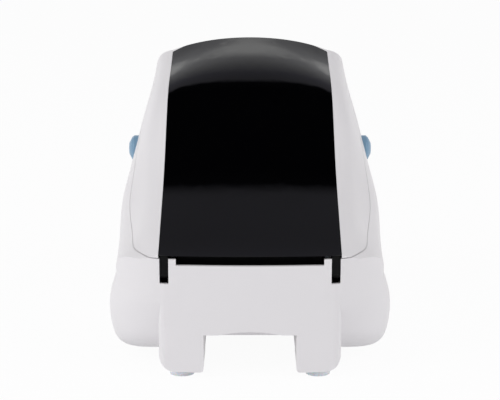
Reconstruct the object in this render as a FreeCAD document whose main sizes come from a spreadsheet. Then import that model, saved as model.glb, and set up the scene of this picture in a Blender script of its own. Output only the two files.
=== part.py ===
import FreeCAD, Part
import math
import os
import re
import Sketcher

# Desktop thermal label printer. X runs across the printer, Y from front to back and Z up.
# Every piece is drawn in a frame that starts at the front face and at the soles of the legs, so a Y of
# 20 is 20 mm behind the front. Each finished piece is then shifted by one placement that centres the
# printer on the origin and lifts it onto its feet.

doc = FreeCAD.newDocument("label_printer")
sizes = doc.addObject("Spreadsheet::Sheet", "sizes")

# Driving sizes in millimetres and degrees, grouped by the piece that owns them.
DRIVING_SIZES = {
    # whole body
    "body_depth": 222, "front_bow": 2.5, "wall": 2.5, "seam_gap": 0.5, "window_half": 51.5,
    "side_half": 77.8, "belt_z": 44, "rail_half": 60.3, "rail_drop": 5.3, "waist_share": 0.35,
    # cross sections of the upper body, from the nose to the tail: distance behind the front, height at
    # the window's edge, crown of the roof, then the seam point and the belt point of the flank
    "nose_back": -6, "nose_edge_z": 65.7, "nose_crown": 0.8,
    "nose_seam_half": 68, "nose_seam_z": 54.4, "nose_belt_half": 75.5, "nose_belt_z": 48.2,
    "hood_back": 30, "hood_edge_z": 82.3, "hood_crown": 1.5,
    "hood_seam_half": 68.4, "hood_seam_z": 69.2, "hood_belt_half": 76.4, "hood_belt_z": 61,
    "scuttle_back": 60, "scuttle_edge_z": 97.3, "scuttle_crown": 2.6,
    "scuttle_seam_half": 68.6, "scuttle_seam_z": 82.5, "scuttle_belt_half": 77, "scuttle_belt_z": 70.5,
    "dash_back": 80, "dash_edge_z": 110.2, "dash_crown": 4,
    "dash_seam_half": 68.4, "dash_seam_z": 95, "dash_belt_half": 76.6, "dash_belt_z": 84,
    "screen_back": 100, "screen_edge_z": 126.8, "screen_crown": 5.8,
    "screen_seam_half": 67.3, "screen_seam_z": 111, "screen_belt_half": 75.4, "screen_belt_z": 94.5,
    "brow_back": 120, "brow_edge_z": 141, "brow_crown": 8,
    "brow_seam_half": 65.8, "brow_seam_z": 126, "brow_belt_half": 73.8, "brow_belt_z": 102.5,
    "roof_back": 146, "roof_edge_z": 150.4, "roof_crown": 11,
    "roof_seam_half": 65.4, "roof_seam_z": 135, "roof_belt_half": 73.4, "roof_belt_z": 104,
    "crest_back": 178, "crest_edge_z": 158.4, "crest_crown": 12.9,
    "crest_seam_half": 65, "crest_seam_z": 138, "crest_belt_half": 73.2, "crest_belt_z": 105,
    # plan outline of the upper body, low and high, and the line of the rear
    "plan_bow": 1, "plan_low_z": 40, "plan_low_front": -1, "plan_low_rear": 216, "plan_high_z": 190,
    "plan_high_front": -1, "plan_high_rear": 207, "plan_corner": 40, "plan_rear_corner": 34,
    "tail_top_back": 170, "tail_top_z": 176, "tail_brow_back": 190, "tail_brow_z": 163.5,
    "tail_deck_back": 201.5, "tail_deck_z": 140, "tail_hinge_back": 207.9, "tail_hinge_z": 117,
    "tail_foot_back": 216, "tail_foot_z": 40,
    # lower bulge of the housing, from the sole up to where it runs into the upper body
    "sole_z": 4.5, "sole_half": 77.2, "sole_front": 33, "sole_rear": 200, "sole_corner": 17,
    "chine_z": 8, "chine_half": 80, "chine_front": 22.5, "chine_rear": 210, "chine_corner": 27,
    "flank_z": 16, "flank_half": 82, "flank_front": 10, "flank_rear": 218, "flank_corner": 36,
    "bulge_z": 27, "bulge_half": 83.2, "bulge_front": 3.5, "bulge_rear": 222, "bulge_corner": 42,
    "hip_z": 38, "hip_half": 81.9, "hip_front": 0.3, "hip_rear": 221, "hip_corner": 42,
    "crease_z": 47, "crease_half": 79.3, "crease_front": -0.4, "crease_rear": 216, "crease_corner": 41,
    "tuck_z": 56, "tuck_half": 76.4, "tuck_front": 3, "tuck_rear": 210, "tuck_corner": 38,
    # parting line between the base and the lid, seen from the side
    "seam_front_z": 66, "seam_turn_back": 13, "seam_turn_z": 66.6, "seam_rise_back": 24,
    "seam_rise_z": 68.1, "seam_hood_z": 70.2, "seam_scuttle_z": 80.5, "seam_dash_z": 93,
    "seam_screen_z": 107.5, "seam_brow_z": 119, "seam_rear_z": 125,
    # front tongue with its two legs
    "tongue_half": 52, "tongue_depth": 34, "leg_bottom_z": 0, "arch_half": 26.5, "arch_z": 20.6,
    "arch_rise": 3.6, "leg_round": 9.5, "tongue_round": 5, "arch_round": 2, "chin_back": 62,
    # label slot, posts and notches
    "slot_half": 41.7, "lip_z": 62.6, "post_half": 45.9, "notch_half": 51, "post_top_z": 66.1,
    "notch_floor_z": 51.7,
    "window_nose_z": 68, "window_back": 188,
    # tear bar behind the lip and the two pads it is fixed to
    "tear_bar_back": 3.2, "tear_bar_sheet": 1.2, "tear_bar_low_z": 54, "tear_pad_half": 30,
    "tear_pad_width": 10,
    # hinge of the lid
    "hinge_back": 201, "hinge_z": 117, "hinge_roll": 7.2, "hinge_rod_radius": 2.5, "hinge_rod_half": 60,
    "hinge_fit": 0.05, "lug_inner_half": 40, "lug_width": 6, "lug_radius": 5, "lug_foot_z": 88,
    "knuckle_outer_half": 58, "knuckle_radius": 5.6,
    # bottom cover and feet
    "cover_half": 64, "cover_front": 72, "cover_rear": 198, "cover_thickness": 1.85, "cover_bottom_z": 2.6,
    "cover_hole_half": 58, "cover_hole_front": 78, "cover_hole_rear": 192, "cover_screw_half": 61,
    "cover_screw_front": 75, "cover_screw_rear": 195, "screw_radius": 1.5, "screw_head_radius": 2.8,
    "foot_radius": 7.5, "foot_drop": 3.4, "front_foot_half": 39, "front_foot_back": 9,
    "rear_foot_half": 48, "rear_foot_back": 182,
    # release buttons on the shoulders
    "button_back": 130, "button_z": 106.4, "button_radius": 8.2, "button_clearance": 0.3,
    "button_outer_half": 77.8,
    "button_inner_half": 66, "button_flange": 9.4, "button_flange_thickness": 2, "button_stem_radius": 3,
    "button_stem": 3.2, "button_travel": 2.5, "button_dome": 2.6,
    # feed button and status lens on the right flank
    "feed_back": 150, "feed_z": 66, "feed_radius": 4.5, "lens_back": 164, "lens_radius": 2,
    # ports and power switch in the rear recess
    "port_recess_half": 46, "port_wall_back": 211, "port_recess_low_z": 8.5, "port_recess_top_z": 30,
    "jack_x": 32, "jack_half": 4.6, "jack_height": 11, "data_x": 8, "data_half": 6.1, "data_height": 11,
    "switch_x": -26, "switch_half": 9.6, "switch_z": 19.5, "switch_tall_half": 6.6,
    # print chassis, media bay and their bosses
    "chassis_web_z": 17, "chassis_boss_radius": 4, "chassis_boss_half": 34, "chassis_boss_front": 28,
    "chassis_boss_rear": 56, "bay_floor_z": 23, "bay_boss_radius": 4, "bay_boss_half": 66,
    "bay_boss_front": 84, "bay_boss_rear": 176,
    # lid liner, platen roller and feed gears
    "liner_wall": 1.6, "liner_gap": 0.3, "liner_opening_half": 45, "ear_front": 0.8, "ear_thickness": 4.4,
    "ear_bottom_z": 54.6,
    "strike_half": 61.6, "strike_thickness": 1.6, "strike_bottom_z": 118.2, "bush_radius": 4.5,
    "platen_back": 20, "platen_z": 64, "platen_radius": 6.5, "platen_half": 41, "platen_core": 3,
    "journal_radius": 2.5, "running_fit": 0.05, "gear_module": 0.8, "gear_start": 43.2, "gear_width": 2.6,
    "backlash": 0.14, "gear_clearance": 0.6, "platen_teeth": 18, "idler_teeth": 36, "pinion_teeth": 12,
    "idler_angle": -45,
    "pinion_angle": -50, "idler_post_radius": 2, "motor_shaft_radius": 1.5,
    # print chassis, motor and print head
    "chassis_half": 42.7, "chassis_sheet": 1.2, "chassis_rear": 68, "chassis_top_z": 54, "motor_radius": 14,
    "motor_length": 21, "motor_ear_reach": 17, "motor_boss_radius": 4, "head_pivot_back": 31.5,
    "head_pivot_z": 46.5,
    "head_pivot_radius": 2, "head_tilt": 25, "head_gap": 0.3, "head_half": 40.4,
    # media bay and roll holders
    "bay_half": 54, "bay_front": 70, "bay_rear": 190, "bay_top_z": 112, "bay_brow": 124, "bay_front_z": 78,
    "bay_rim_half": 65, "holder_half": 42, "holder_travel": 25, "pinion_back": 121, "rack_back": 11,
    "rack_z": 17.5,
    "rack_height": 4, "guide_post_radius": 2, "roll_back": 121, "roll_z": 72, "hub_radius": 12,
    "hub_length": 6,
    "hub_pin_radius": 4,
    # hooks of the release buttons, feed button and rocker
    "hook_half": 58.6, "hook_top_z": 121.5, "feed_inner_half": 73, "rocker_lean": -7,
    # main board
    "board_post_half": 40, "board_post_front": 88, "board_post_rear": 184, "board_half": 46,
    "board_front": 80, "board_rear": 207.5, "board_bottom_z": 10, "board_top_z": 11.6,
}
for row, (name, number) in enumerate(DRIVING_SIZES.items(), start=1):
    sizes.set("A%d" % row, name.replace("_", " "))
    sizes.set("B%d" % row, str(number))
    sizes.setAlias("B%d" % row, name)
doc.recompute()


def value(formula):
    """Number given by a sum of products of sheet names and plain numbers."""
    total = 0.0
    for sign, term in re.findall(r"([+-]?)\s*([^+\-]+)", formula):
        product = 1.0
        for step, factor in re.findall(r"([*/]?)\s*([\w.]+)", term):
            number = float(factor) if factor[0].isdigit() else float(sizes.get(factor))
            product = product / number if step == "/" else product * number
        total += -product if sign == "-" else product
    return total


def bound(formula):
    """The same sum written as an expression on the sheet."""
    return re.sub(r"[A-Za-z_]\w*", lambda found: "sizes." + found.group(0), formula)


CENTRING = "front_bow / 2 - body_depth / 2"


def finish(piece, label):
    """Name a finished piece, shift it to the centred frame and lift it onto the feet."""
    piece.Label = label
    back, up = own_place.get(piece.Name, ("0", "0"))
    piece.setExpression("Placement.Base.y", bound(back + " + " + CENTRING))
    piece.setExpression("Placement.Base.z", bound(up + " + foot_drop"))
    finished.append(piece)
    return piece


finished = []
own_place = {}


# Drawing helpers

def new_body(name):
    return doc.addObject("PartDesign::Body", name)


def sketch(body, name, plane, level="0"):
    """Empty sketch on one of the body's own planes, moved off it to the given level."""
    drawing = body.newObject("Sketcher::SketchObject", name)
    support = [f for f in body.Origin.OriginFeatures if f.Role == plane + "_Plane"][0]
    drawing.AttachmentSupport = [(support, "")]
    drawing.MapMode = "FlatFace"
    drawing.setExpression("AttachmentOffset.Base.z", bound(level))
    return drawing


def pin(drawing, item, end, x, y):
    """Hold one point of a sketch at the given formulas."""
    for kind, formula, axis in (("DistanceX", x, -2), ("DistanceY", y, -1)):
        if formula == "0":
            drawing.addConstraint(Sketcher.Constraint("PointOnObject", item, end, axis))
        else:
            index = drawing.addConstraint(Sketcher.Constraint(kind, -1, 1, item, end, value(formula)))
            drawing.setExpression("Constraints[%d]" % index, bound(formula))


def polygon(drawing, corners):
    """Closed outline of straight lines through corners given as formulas."""
    first = drawing.GeometryCount
    count = len(corners)
    points = [FreeCAD.Vector(value(x), value(y), 0) for x, y in corners]
    for i in range(count):
        drawing.addGeometry(Part.LineSegment(points[i], points[(i + 1) % count]))
    for i in range(count):
        drawing.addConstraint(Sketcher.Constraint("Coincident", first + i, 2, first + (i + 1) % count, 1))
    for i, (x, y) in enumerate(corners):
        pin(drawing, first + i, 1, x, y)


def rectangle(drawing, left, bottom, right, top):
    polygon(drawing, [(left, bottom), (right, bottom), (right, top), (left, top)])


def circle(drawing, x, y, radius):
    """Full circle with its centre and radius given as formulas."""
    centre = FreeCAD.Vector(value(x), value(y), 0)
    item = drawing.addGeometry(Part.Circle(centre, FreeCAD.Vector(0, 0, 1), value(radius)))
    index = drawing.addConstraint(Sketcher.Constraint("Radius", item, value(radius)))
    drawing.setExpression("Constraints[%d]" % index, bound(radius))
    pin(drawing, item, 3, x, y)


def extrude(body, drawing, kind, length, both_ways=False, flip=False):
    """Pad or pocket a sketch by a formula, to one side or evenly to both."""
    feature = body.newObject("PartDesign::" + kind, drawing.Name + "_" + kind.lower())
    feature.Profile = drawing
    feature.setExpression("Length", bound(length))
    feature.SideType = "Symmetric" if both_ways else "One side"
    feature.Reversed = flip
    body.Tip = feature
    doc.recompute()
    return feature


def soften(body, kind, amount, chosen):
    """Fillet or chamfer the edges of the body that a test picks out."""
    base = body.Tip
    names = ["Edge%d" % (i + 1) for i, edge in enumerate(base.Shape.Edges) if chosen(edge)]
    feature = body.newObject("PartDesign::" + kind, body.Name + "_" + kind.lower())
    feature.Base = (base, names)
    feature.setExpression("Radius" if kind == "Fillet" else "Size", bound(amount))
    body.Tip = feature
    doc.recompute()
    return feature


def along(edge, axis):
    """True for a straight edge that runs along the named axis."""
    if edge.Curve.TypeId != "Part::GeomLine":
        return False
    return abs(getattr(edge.Curve.Direction, axis)) > 0.999


def combine(kind, name, *pieces):
    """Boolean of finished solids: Cut and Common take two, MultiFuse takes any number."""
    feature = doc.addObject("Part::" + kind, name)
    if kind in ("MultiFuse", "MultiCommon"):
        feature.Shapes = list(pieces)
    else:
        feature.Base, feature.Tool = pieces
    doc.recompute()
    return feature


def box(name, low, high):
    """Rectangular block between two corners given as formulas."""
    block = doc.addObject("Part::Box", name)
    for side, axis, start, end in zip(("Length", "Width", "Height"), "xyz", low, high):
        block.setExpression(side, bound(end) + " - (" + bound(start) + ")")
        block.setExpression("Placement.Base." + axis, bound(start))
    own_place[block.Name] = low[1:]
    return block


def bar(name, radius, start, length, axis="x"):
    """Round bar that starts at a point given as formulas and runs along an axis."""
    rod = doc.addObject("Part::Cylinder", name)
    rod.setExpression("Radius", bound(radius))
    rod.setExpression("Height", bound(length))
    turn = {"x": ((0, 1, 0), 90), "y": ((1, 0, 0), -90), "z": ((0, 0, 1), 0)}[axis]
    rod.Placement = FreeCAD.Placement(FreeCAD.Vector(), FreeCAD.Rotation(FreeCAD.Vector(*turn[0]), turn[1]))
    for letter, formula in zip("xyz", start):
        rod.setExpression("Placement.Base." + letter, bound(formula))
    own_place[rod.Name] = start[1:]
    return rod


# Outer skin: the upper body is lofted through cross sections that run from the nose to the tail

STATIONS = ("nose", "hood", "scuttle", "dash", "screen", "brow", "roof", "crest", "tail")


def inward(points, inset):
    """Points of an open line, each moved square to the line towards its left hand side."""
    moved = []
    for i, (across, up) in enumerate(points):
        before = points[max(i - 1, 0)]
        after = points[min(i + 1, len(points) - 1)]
        run = (after[0] - before[0], after[1] - before[1])
        length = math.hypot(*run)
        moved.append((across - inset * run[1] / length, up + inset * run[0] / length))
    return moved


def curve(points):
    """Smooth edge through a row of points."""
    spline = Part.BSplineCurve()
    spline.interpolate(points)
    return spline.toShape()


def cross_section(station, inset):
    """Closed section of the upper body at one station, moved inwards by the inset."""
    shape = "crest" if station == "tail" else station
    back = value("body_depth + 6") if station == "tail" else value(station + "_back")
    edge_z = value(shape + "_edge_z")
    half = [
        (value("side_half"), value("belt_z")),
        (value("side_half"), value("belt_z + waist_share * %s_belt_z - waist_share * belt_z" % shape)),
        (value(shape + "_belt_half"), value(shape + "_belt_z")),
        (value(shape + "_seam_half"), value(shape + "_seam_z")),
        (value("rail_half"), edge_z - value("rail_drop")),
        (value("window_half"), edge_z),
        (value("window_half") / 2, edge_z + 0.75 * value(shape + "_crown")),
        (0, edge_z + value(shape + "_crown")),
    ]
    half = inward(half, inset)
    half[-1] = (0, half[-1][1])
    right = [FreeCAD.Vector(x, back, z) for x, z in half]
    left = [FreeCAD.Vector(-x, back, z) for x, z in half]
    sole = Part.LineSegment(left[0], right[0]).toShape()
    flank = curve(right[:6])
    roof = curve(right[5:] + list(reversed(left[5:7])))
    far_flank = curve(list(reversed(left[:6])))
    return Part.Wire([sole, flank, roof, far_flank])


def rounded_outline(z, half, front, rear, front_radius, rear_radius, bow):
    """Closed plan outline with a bowed front edge and rounded corners."""
    turn = math.sqrt(0.5)

    def at(x, y):
        return FreeCAD.Vector(x, y, z)

    def corner(start, side, end_of_body, radius, finish_point):
        centre_y = front + radius if end_of_body < 0 else rear - radius
        middle = at(side * (half - radius + radius * turn), centre_y + end_of_body * radius * turn)
        return Part.Arc(start, middle, finish_point).toShape()

    front_right, front_left = at(half - front_radius, front), at(front_radius - half, front)
    right_front, left_front = at(half, front + front_radius), at(-half, front + front_radius)
    right_rear, left_rear = at(half, rear - rear_radius), at(-half, rear - rear_radius)
    rear_right, rear_left = at(half - rear_radius, rear), at(rear_radius - half, rear)
    return Part.Wire([
        Part.Arc(front_left, at(0, front - bow), front_right).toShape(),
        corner(front_right, 1, -1, front_radius, right_front),
        Part.LineSegment(right_front, right_rear).toShape(),
        corner(right_rear, 1, 1, rear_radius, rear_right),
        Part.LineSegment(rear_right, rear_left).toShape(),
        corner(rear_left, -1, 1, rear_radius, left_rear),
        Part.LineSegment(left_rear, left_front).toShape(),
        corner(left_front, -1, -1, front_radius, front_left),
    ])


def loft(name, wires):
    """Smooth solid through a row of section wires."""
    sections = []
    for i, wire in enumerate(wires):
        section = doc.addObject("Part::Feature", "%s_section_%d" % (name, i))
        section.Shape = wire
        sections.append(section)
    skin = doc.addObject("Part::Loft", name)
    skin.Sections = sections
    skin.Solid = True
    skin.Ruled = len(wires) == 2
    doc.recompute()
    return skin


def side_prism(name, edges, half):
    """Solid with a closed side view outline, running the same distance to the left and the right."""
    outline = doc.addObject("Part::Feature", name + "_outline")
    outline.Shape = Part.Wire(edges)
    prism = doc.addObject("Part::Extrusion", name)
    prism.Base = outline
    prism.Dir = (1, 0, 0)
    prism.setExpression("LengthFwd", bound(half))
    prism.setExpression("LengthRev", bound(half))
    prism.Solid = True
    doc.recompute()
    return prism


def side_point(back, z):
    return FreeCAD.Vector(0, back, z)


def straight(*points):
    """Straight edges through a row of side view points."""
    corners = [side_point(*point) for point in points]
    return [Part.LineSegment(a, b).toShape() for a, b in zip(corners, corners[1:])]


FAR = "side_half + 20"
ABOVE = 220
BEHIND = value("body_depth + 30")


def tail_line(inset):
    """Side view line of the rear, from the roof down to the foot."""
    names = ("top", "brow", "deck", "hinge", "foot")
    points = [(value("tail_%s_back" % n), value("tail_%s_z" % n)) for n in names]
    return inward(points, -inset)


def upper_body(name, inset):
    """Solid of the upper body and lid together, moved inwards by the inset."""
    skin = loft(name + "_skin", [cross_section(station, inset) for station in STATIONS])
    plans = []
    for level in ("low", "high"):
        plans.append(rounded_outline(
            value("plan_%s_z" % level), value("side_half") + 2 - inset,
            value("plan_%s_front" % level) + inset, value("plan_%s_rear" % level) - inset,
            value("plan_corner") + 2 - inset, value("plan_rear_corner") + 2 - inset, value("plan_bow")))
    plan = loft(name + "_plan", plans)
    line = tail_line(inset)
    tail = side_prism(name + "_tail", [
        curve([side_point(*point) for point in line]),
        *straight(line[-1], (line[-1][0], 0), (-60, 0), (-60, ABOVE), (line[0][0] - 20, ABOVE), line[0]),
    ], FAR)
    return combine("MultiCommon", name, skin, plan, tail)


def parting(name, lift, roll, first, over):
    """Everything above the parting line: along the flanks, then round the hinge at the rear."""
    hinge = (value("hinge_back"), value("hinge_z"))

    def round_hinge(degrees):
        angle = math.radians(degrees)
        return (hinge[0] + roll * math.cos(angle), hinge[1] + roll * math.sin(angle))

    flank = [(-14, value("seam_front_z")), (4, value("seam_front_z"))]
    for bend in ("turn", "rise"):
        flank.append((value("seam_%s_back" % bend), value("seam_%s_z" % bend)))
    for station in ("hood", "scuttle", "dash", "screen", "brow"):
        flank.append((value(station + "_back") + 4, value("seam_%s_z" % station)))
    flank.append((value("roof_back"), value("seam_rear_z")))
    flank.append((value("hinge_back - 20"), value("seam_rear_z")))
    line = [side_point(back, z + lift) for back, z in flank]
    last = (flank[-1][0], flank[-1][1] + lift)
    arc = Part.Arc(*[side_point(*round_hinge(d)) for d in (first, 230, over)]).toShape()
    exit_point = (BEHIND, round_hinge(over)[1] + (0 if over == 360 else -6))
    return side_prism(name, [
        curve(line),
        *straight(last, round_hinge(first)),
        arc,
        *straight(round_hinge(over), exit_point, (BEHIND, ABOVE), (-14, ABOVE), (-14, flank[0][1] + lift)),
    ], FAR)


upper_outer = upper_body("upper_outer", 0)
upper_inner = upper_body("upper_inner", value("wall"))
base_limit = parting("base_limit", 0, value("hinge_roll + seam_gap"), 150, 310)
lid_limit = parting("lid_limit", value("seam_gap"), value("hinge_roll"), 138, 360)

# Lower bulge: horizontal outlines from the sole up to the crease below the shoulders

LEVELS = ("sole", "chine", "flank", "bulge", "hip", "crease", "tuck")


def lower_body(name, inset):
    """Solid of the lower bulge, moved inwards by the inset, with its floor raised by the inset."""
    outlines = []
    for level in LEVELS:
        lift = inset if level == "sole" else 0
        radius = value(level + "_corner") - inset
        outlines.append(rounded_outline(
            value(level + "_z") + lift, value(level + "_half") - inset, value(level + "_front") + inset,
            value(level + "_rear") - inset, radius, radius, 0.5))
    return loft(name, outlines)


lower_outer = lower_body("lower_outer", 0)
lower_inner = lower_body("lower_inner", value("wall"))


# Lower housing: shoulders, bulge and front tongue in one white moulding

def front_prism(name, edges, depth):
    """Solid with a closed front view outline, running back from in front of the printer."""
    outline = doc.addObject("Part::Feature", name + "_outline")
    outline.Shape = Part.Wire(edges)
    prism = doc.addObject("Part::Extrusion", name)
    prism.Base = outline
    prism.Dir = (0, 1, 0)
    prism.setExpression("LengthFwd", bound(depth))
    prism.setExpression("LengthRev", bound("front_bow * 2"))
    prism.Solid = True
    doc.recompute()
    return prism


def tongue(name, inset):
    """Front tongue with its two legs, moved inwards by the inset."""
    half = value("tongue_half") - inset
    top = value("post_top_z") + inset
    bottom = value("leg_bottom_z") + inset
    arch = value("arch_half") + inset
    arch_z = value("arch_z") + inset
    crown_z = arch_z + value("arch_rise")
    outer = value("leg_round") - inset
    small = value("arch_round")
    turn = 1 - math.sqrt(0.5)

    def at(x, z):
        return FreeCAD.Vector(x, 0, z)

    def leg(side):
        """Outline of one leg, from the top of the tongue down to the start of the arch."""
        return [
            Part.LineSegment(at(side * half, top), at(side * half, bottom + outer)).toShape(),
            Part.Arc(at(side * half, bottom + outer), at(side * (half - outer * turn), bottom + outer * turn),
                     at(side * (half - outer), bottom)).toShape(),
            Part.LineSegment(at(side * (half - outer), bottom), at(side * (arch + small), bottom)).toShape(),
            Part.Arc(at(side * (arch + small), bottom), at(side * (arch + small * turn),
                                                           bottom + small * turn),
                     at(side * arch, bottom + small)).toShape(),
            Part.LineSegment(at(side * arch, bottom + small), at(side * arch, arch_z - small)).toShape(),
            Part.Arc(at(side * arch, arch_z - small), at(side * (arch - small * turn), arch_z - small * turn),
                     at(side * (arch - small), arch_z)).toShape(),
        ]

    roof = Part.Arc(at(arch - small, arch_z), at(0, crown_z), at(small - arch, arch_z)).toShape()
    lid_side = Part.LineSegment(at(half, top), at(-half, top)).toShape()
    front_view = front_prism(name + "_front", leg(1) + [roof] + leg(-1)[::-1] + [lid_side],
                             "tongue_depth - %g" % inset)
    bend = value("tongue_round") - inset
    flat = half - bend
    rear = value("tongue_depth + 5")
    bow = Part.Arc(FreeCAD.Vector(-flat, inset, 0), FreeCAD.Vector(0, inset - value("front_bow"), 0),
                   FreeCAD.Vector(flat, inset, 0)).toShape()

    def corner(side):
        return Part.Arc(FreeCAD.Vector(side * flat, inset, 0),
                        FreeCAD.Vector(side * (half - bend * turn), inset + bend * turn, 0),
                        FreeCAD.Vector(side * half, inset + bend, 0)).toShape()

    corners = [FreeCAD.Vector(half, inset + bend, 0), FreeCAD.Vector(half, rear, 0),
               FreeCAD.Vector(-half, rear, 0),
               FreeCAD.Vector(-half, inset + bend, 0)]
    sides = [Part.LineSegment(a, b).toShape() for a, b in zip(corners, corners[1:])]
    plan_outline = doc.addObject("Part::Feature", name + "_plan_outline")
    plan_outline.Shape = Part.Wire([bow, corner(1)] + sides + [corner(-1)])
    plan_view = doc.addObject("Part::Extrusion", name + "_plan")
    plan_view.Base = plan_outline
    plan_view.Dir = (0, 0, 1)
    plan_view.setExpression("LengthFwd", bound("lip_z + 20"))
    plan_view.Solid = True
    doc.recompute()
    return combine("Common", name, front_view, plan_view)


def chin(name, lift, half):
    """Sloping hollow under the front, between the legs."""
    low = value("sole_z") + lift
    high = value("arch_z") + 1 + lift
    back = value("chin_back")
    rise = (high - low) / back
    return side_prism(name, straight((-12, -5), (-12, high + 12 * rise), (back, low), (back, -5),
                                     (-12, -5)), half)


base_skin = combine("MultiFuse", "base_skin", combine("Cut", "base_upper", upper_outer, base_limit),
                    lower_outer, tongue("tongue_outer", 0))
base_room = combine("Cut", "base_room",
                    combine("MultiFuse", "base_space", upper_inner, lower_inner,
                            tongue("tongue_inner", value("wall"))),
                    chin("chin_floor", value("wall"), "arch_half + wall"))
openings = [
    base_room,
    chin("chin_hollow", 0, "arch_half"),
    box("label_slot", ("-slot_half", "-10", "lip_z"), ("slot_half", "10", "lip_z + 10")),
    box("post_tops", ("-tongue_half", "-10", "post_top_z"), ("tongue_half", "8", "post_top_z + 10")),
    box("cover_opening", ("-cover_hole_half", "cover_hole_front", "0"),
        ("cover_hole_half", "cover_hole_rear", "sole_z + wall + 0.2")),
    box("port_recess", ("-port_recess_half", "port_wall_back", "port_recess_low_z"),
        ("port_recess_half", "body_depth + 10", "port_recess_top_z")),
]
for side, sign in (("left", "-"), ("right", "")):
    near, far = ("-notch_half", "-post_half") if sign else ("post_half", "notch_half")
    openings.append(box("ear_notch_" + side, (near, "-10", "notch_floor_z"),
                        (far, "36", "notch_floor_z + 30")))
    near, far = ("-tongue_half - 0.5", "-post_half") if sign else ("post_half", "tongue_half + 0.5")
    openings.append(box("shoulder_step_" + side, (near, "-10", "seam_front_z"),
                        (far, "tongue_depth", "seam_front_z + 12")))
    start = "-side_half - 10" if sign else "button_inner_half - 1"
    openings.append(bar("button_hole_" + side, "button_radius + button_clearance",
                        (start, "button_back", "button_z"), "side_half - button_inner_half + 11"))
openings.append(bar("feed_hole", "feed_radius + button_clearance",
                    ("side_half - 12", "feed_back", "feed_z"), "30"))
openings.append(bar("lens_hole", "lens_radius + 0.05", ("side_half - 12", "lens_back", "feed_z"), "30"))
openings.append(box("jack_hole", ("jack_x - jack_half", "port_wall_back - 10", "board_top_z"),
                    ("jack_x + jack_half", "port_wall_back + 10", "board_top_z + jack_height")))
openings.append(box("data_hole", ("data_x - data_half", "port_wall_back - 10", "board_top_z"),
                    ("data_x + data_half", "port_wall_back + 10", "board_top_z + data_height")))
openings.append(box("switch_hole", ("switch_x - switch_half", "port_wall_back - 10",
                                    "switch_z - switch_tall_half"),
                    ("switch_x + switch_half", "port_wall_back + 10", "switch_z + switch_tall_half")))


def lug(side):
    """Upright ear behind the rear wall that carries the hinge rod."""
    start = "-lug_inner_half - lug_width" if side == "left" else "lug_inner_half"
    eye = bar("lug_eye_" + side, "lug_radius", (start, "hinge_back", "hinge_z"), "lug_width")
    end = "-lug_inner_half" if side == "left" else "lug_inner_half + lug_width"
    stem = box("lug_stem_" + side, (start, "hinge_back - lug_radius", "lug_foot_z"),
               (end, "hinge_back + lug_radius", "hinge_z"))
    root = box("lug_root_" + side, (start, "hinge_back", "lug_foot_z"),
               (end, "tail_hinge_back + 1", "hinge_z - hinge_roll - 4"))
    return [eye, stem, root]


def post(name, radius, x, back, bottom, top):
    return bar(name, radius, (x, back, bottom), "(" + top + ") - (" + bottom + ")", "z")


additions = lug("left") + lug("right")
for side, start in (("left", "-tear_pad_half"), ("right", "tear_pad_half - tear_pad_width")):
    additions.append(box("tear_pad_" + side, (start, "-0.6", "tear_bar_low_z"),
                         (start + " + tear_pad_width", "tear_bar_back", "lip_z - 2.5")))
for sign in ("-", ""):
    for end in ("front", "rear"):
        tag = ("left_" if sign else "right_") + end
        additions.append(post("chassis_boss_" + tag, "chassis_boss_radius", sign + "chassis_boss_half",
                              "chassis_boss_" + end, "sole_z", "chassis_web_z"))
        additions.append(post("bay_boss_" + tag, "bay_boss_radius", sign + "bay_boss_half",
                              "bay_boss_" + end, "sole_z", "bay_floor_z"))
        additions.append(post("cover_boss_" + tag, "screw_radius * 2", sign + "cover_screw_half",
                              "cover_screw_" + end, "sole_z", "sole_z + 6"))
        openings.append(post("cover_screw_hole_" + tag, "screw_radius", sign + "cover_screw_half",
                             "cover_screw_" + end, "0", "sole_z + 5"))
        openings.append(post("chassis_screw_hole_" + tag, "screw_radius", sign + "chassis_boss_half",
                             "chassis_boss_" + end, "chassis_web_z - 7", "chassis_web_z + 1"))
openings.append(bar("rod_hole", "hinge_rod_radius", ("-hinge_rod_half", "hinge_back", "hinge_z"),
                    "hinge_rod_half * 2"))

port_wall = box("port_wall", ("-port_recess_half - wall", "port_wall_back - wall",
                              "port_recess_low_z - wall"),
                ("port_recess_half + wall", "body_depth", "port_recess_top_z + wall"))
base_hollow = combine("Cut", "base_hollow", base_skin, combine("Cut", "base_inside", base_room, port_wall))
base_filled = combine("MultiFuse", "base_filled", base_hollow, *additions)
base_holes = combine("MultiFuse", "base_holes", *openings[1:])
lower_housing = finish(combine("Cut", "lower_housing", base_filled, base_holes), "lower_housing")


# Lid: white frame, smoked window and black liner follow the same skin

roof_shell = combine("Cut", "roof_shell", upper_outer, upper_inner)
lid_shell = combine("Common", "lid_shell", roof_shell, lid_limit)
window_zone = box("window_zone", ("-window_half", "-10", "window_nose_z"),
                  ("window_half", "window_back", "seam_rear_z + 90"))
window_hole = box("window_hole", ("-window_half - 0.15", "-10", "window_nose_z - 5"),
                  ("window_half + 0.15", "window_back + 0.15", "seam_rear_z + 90"))
lid_window = finish(combine("Common", "lid_window", roof_shell, window_zone), "lid_window")

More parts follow.
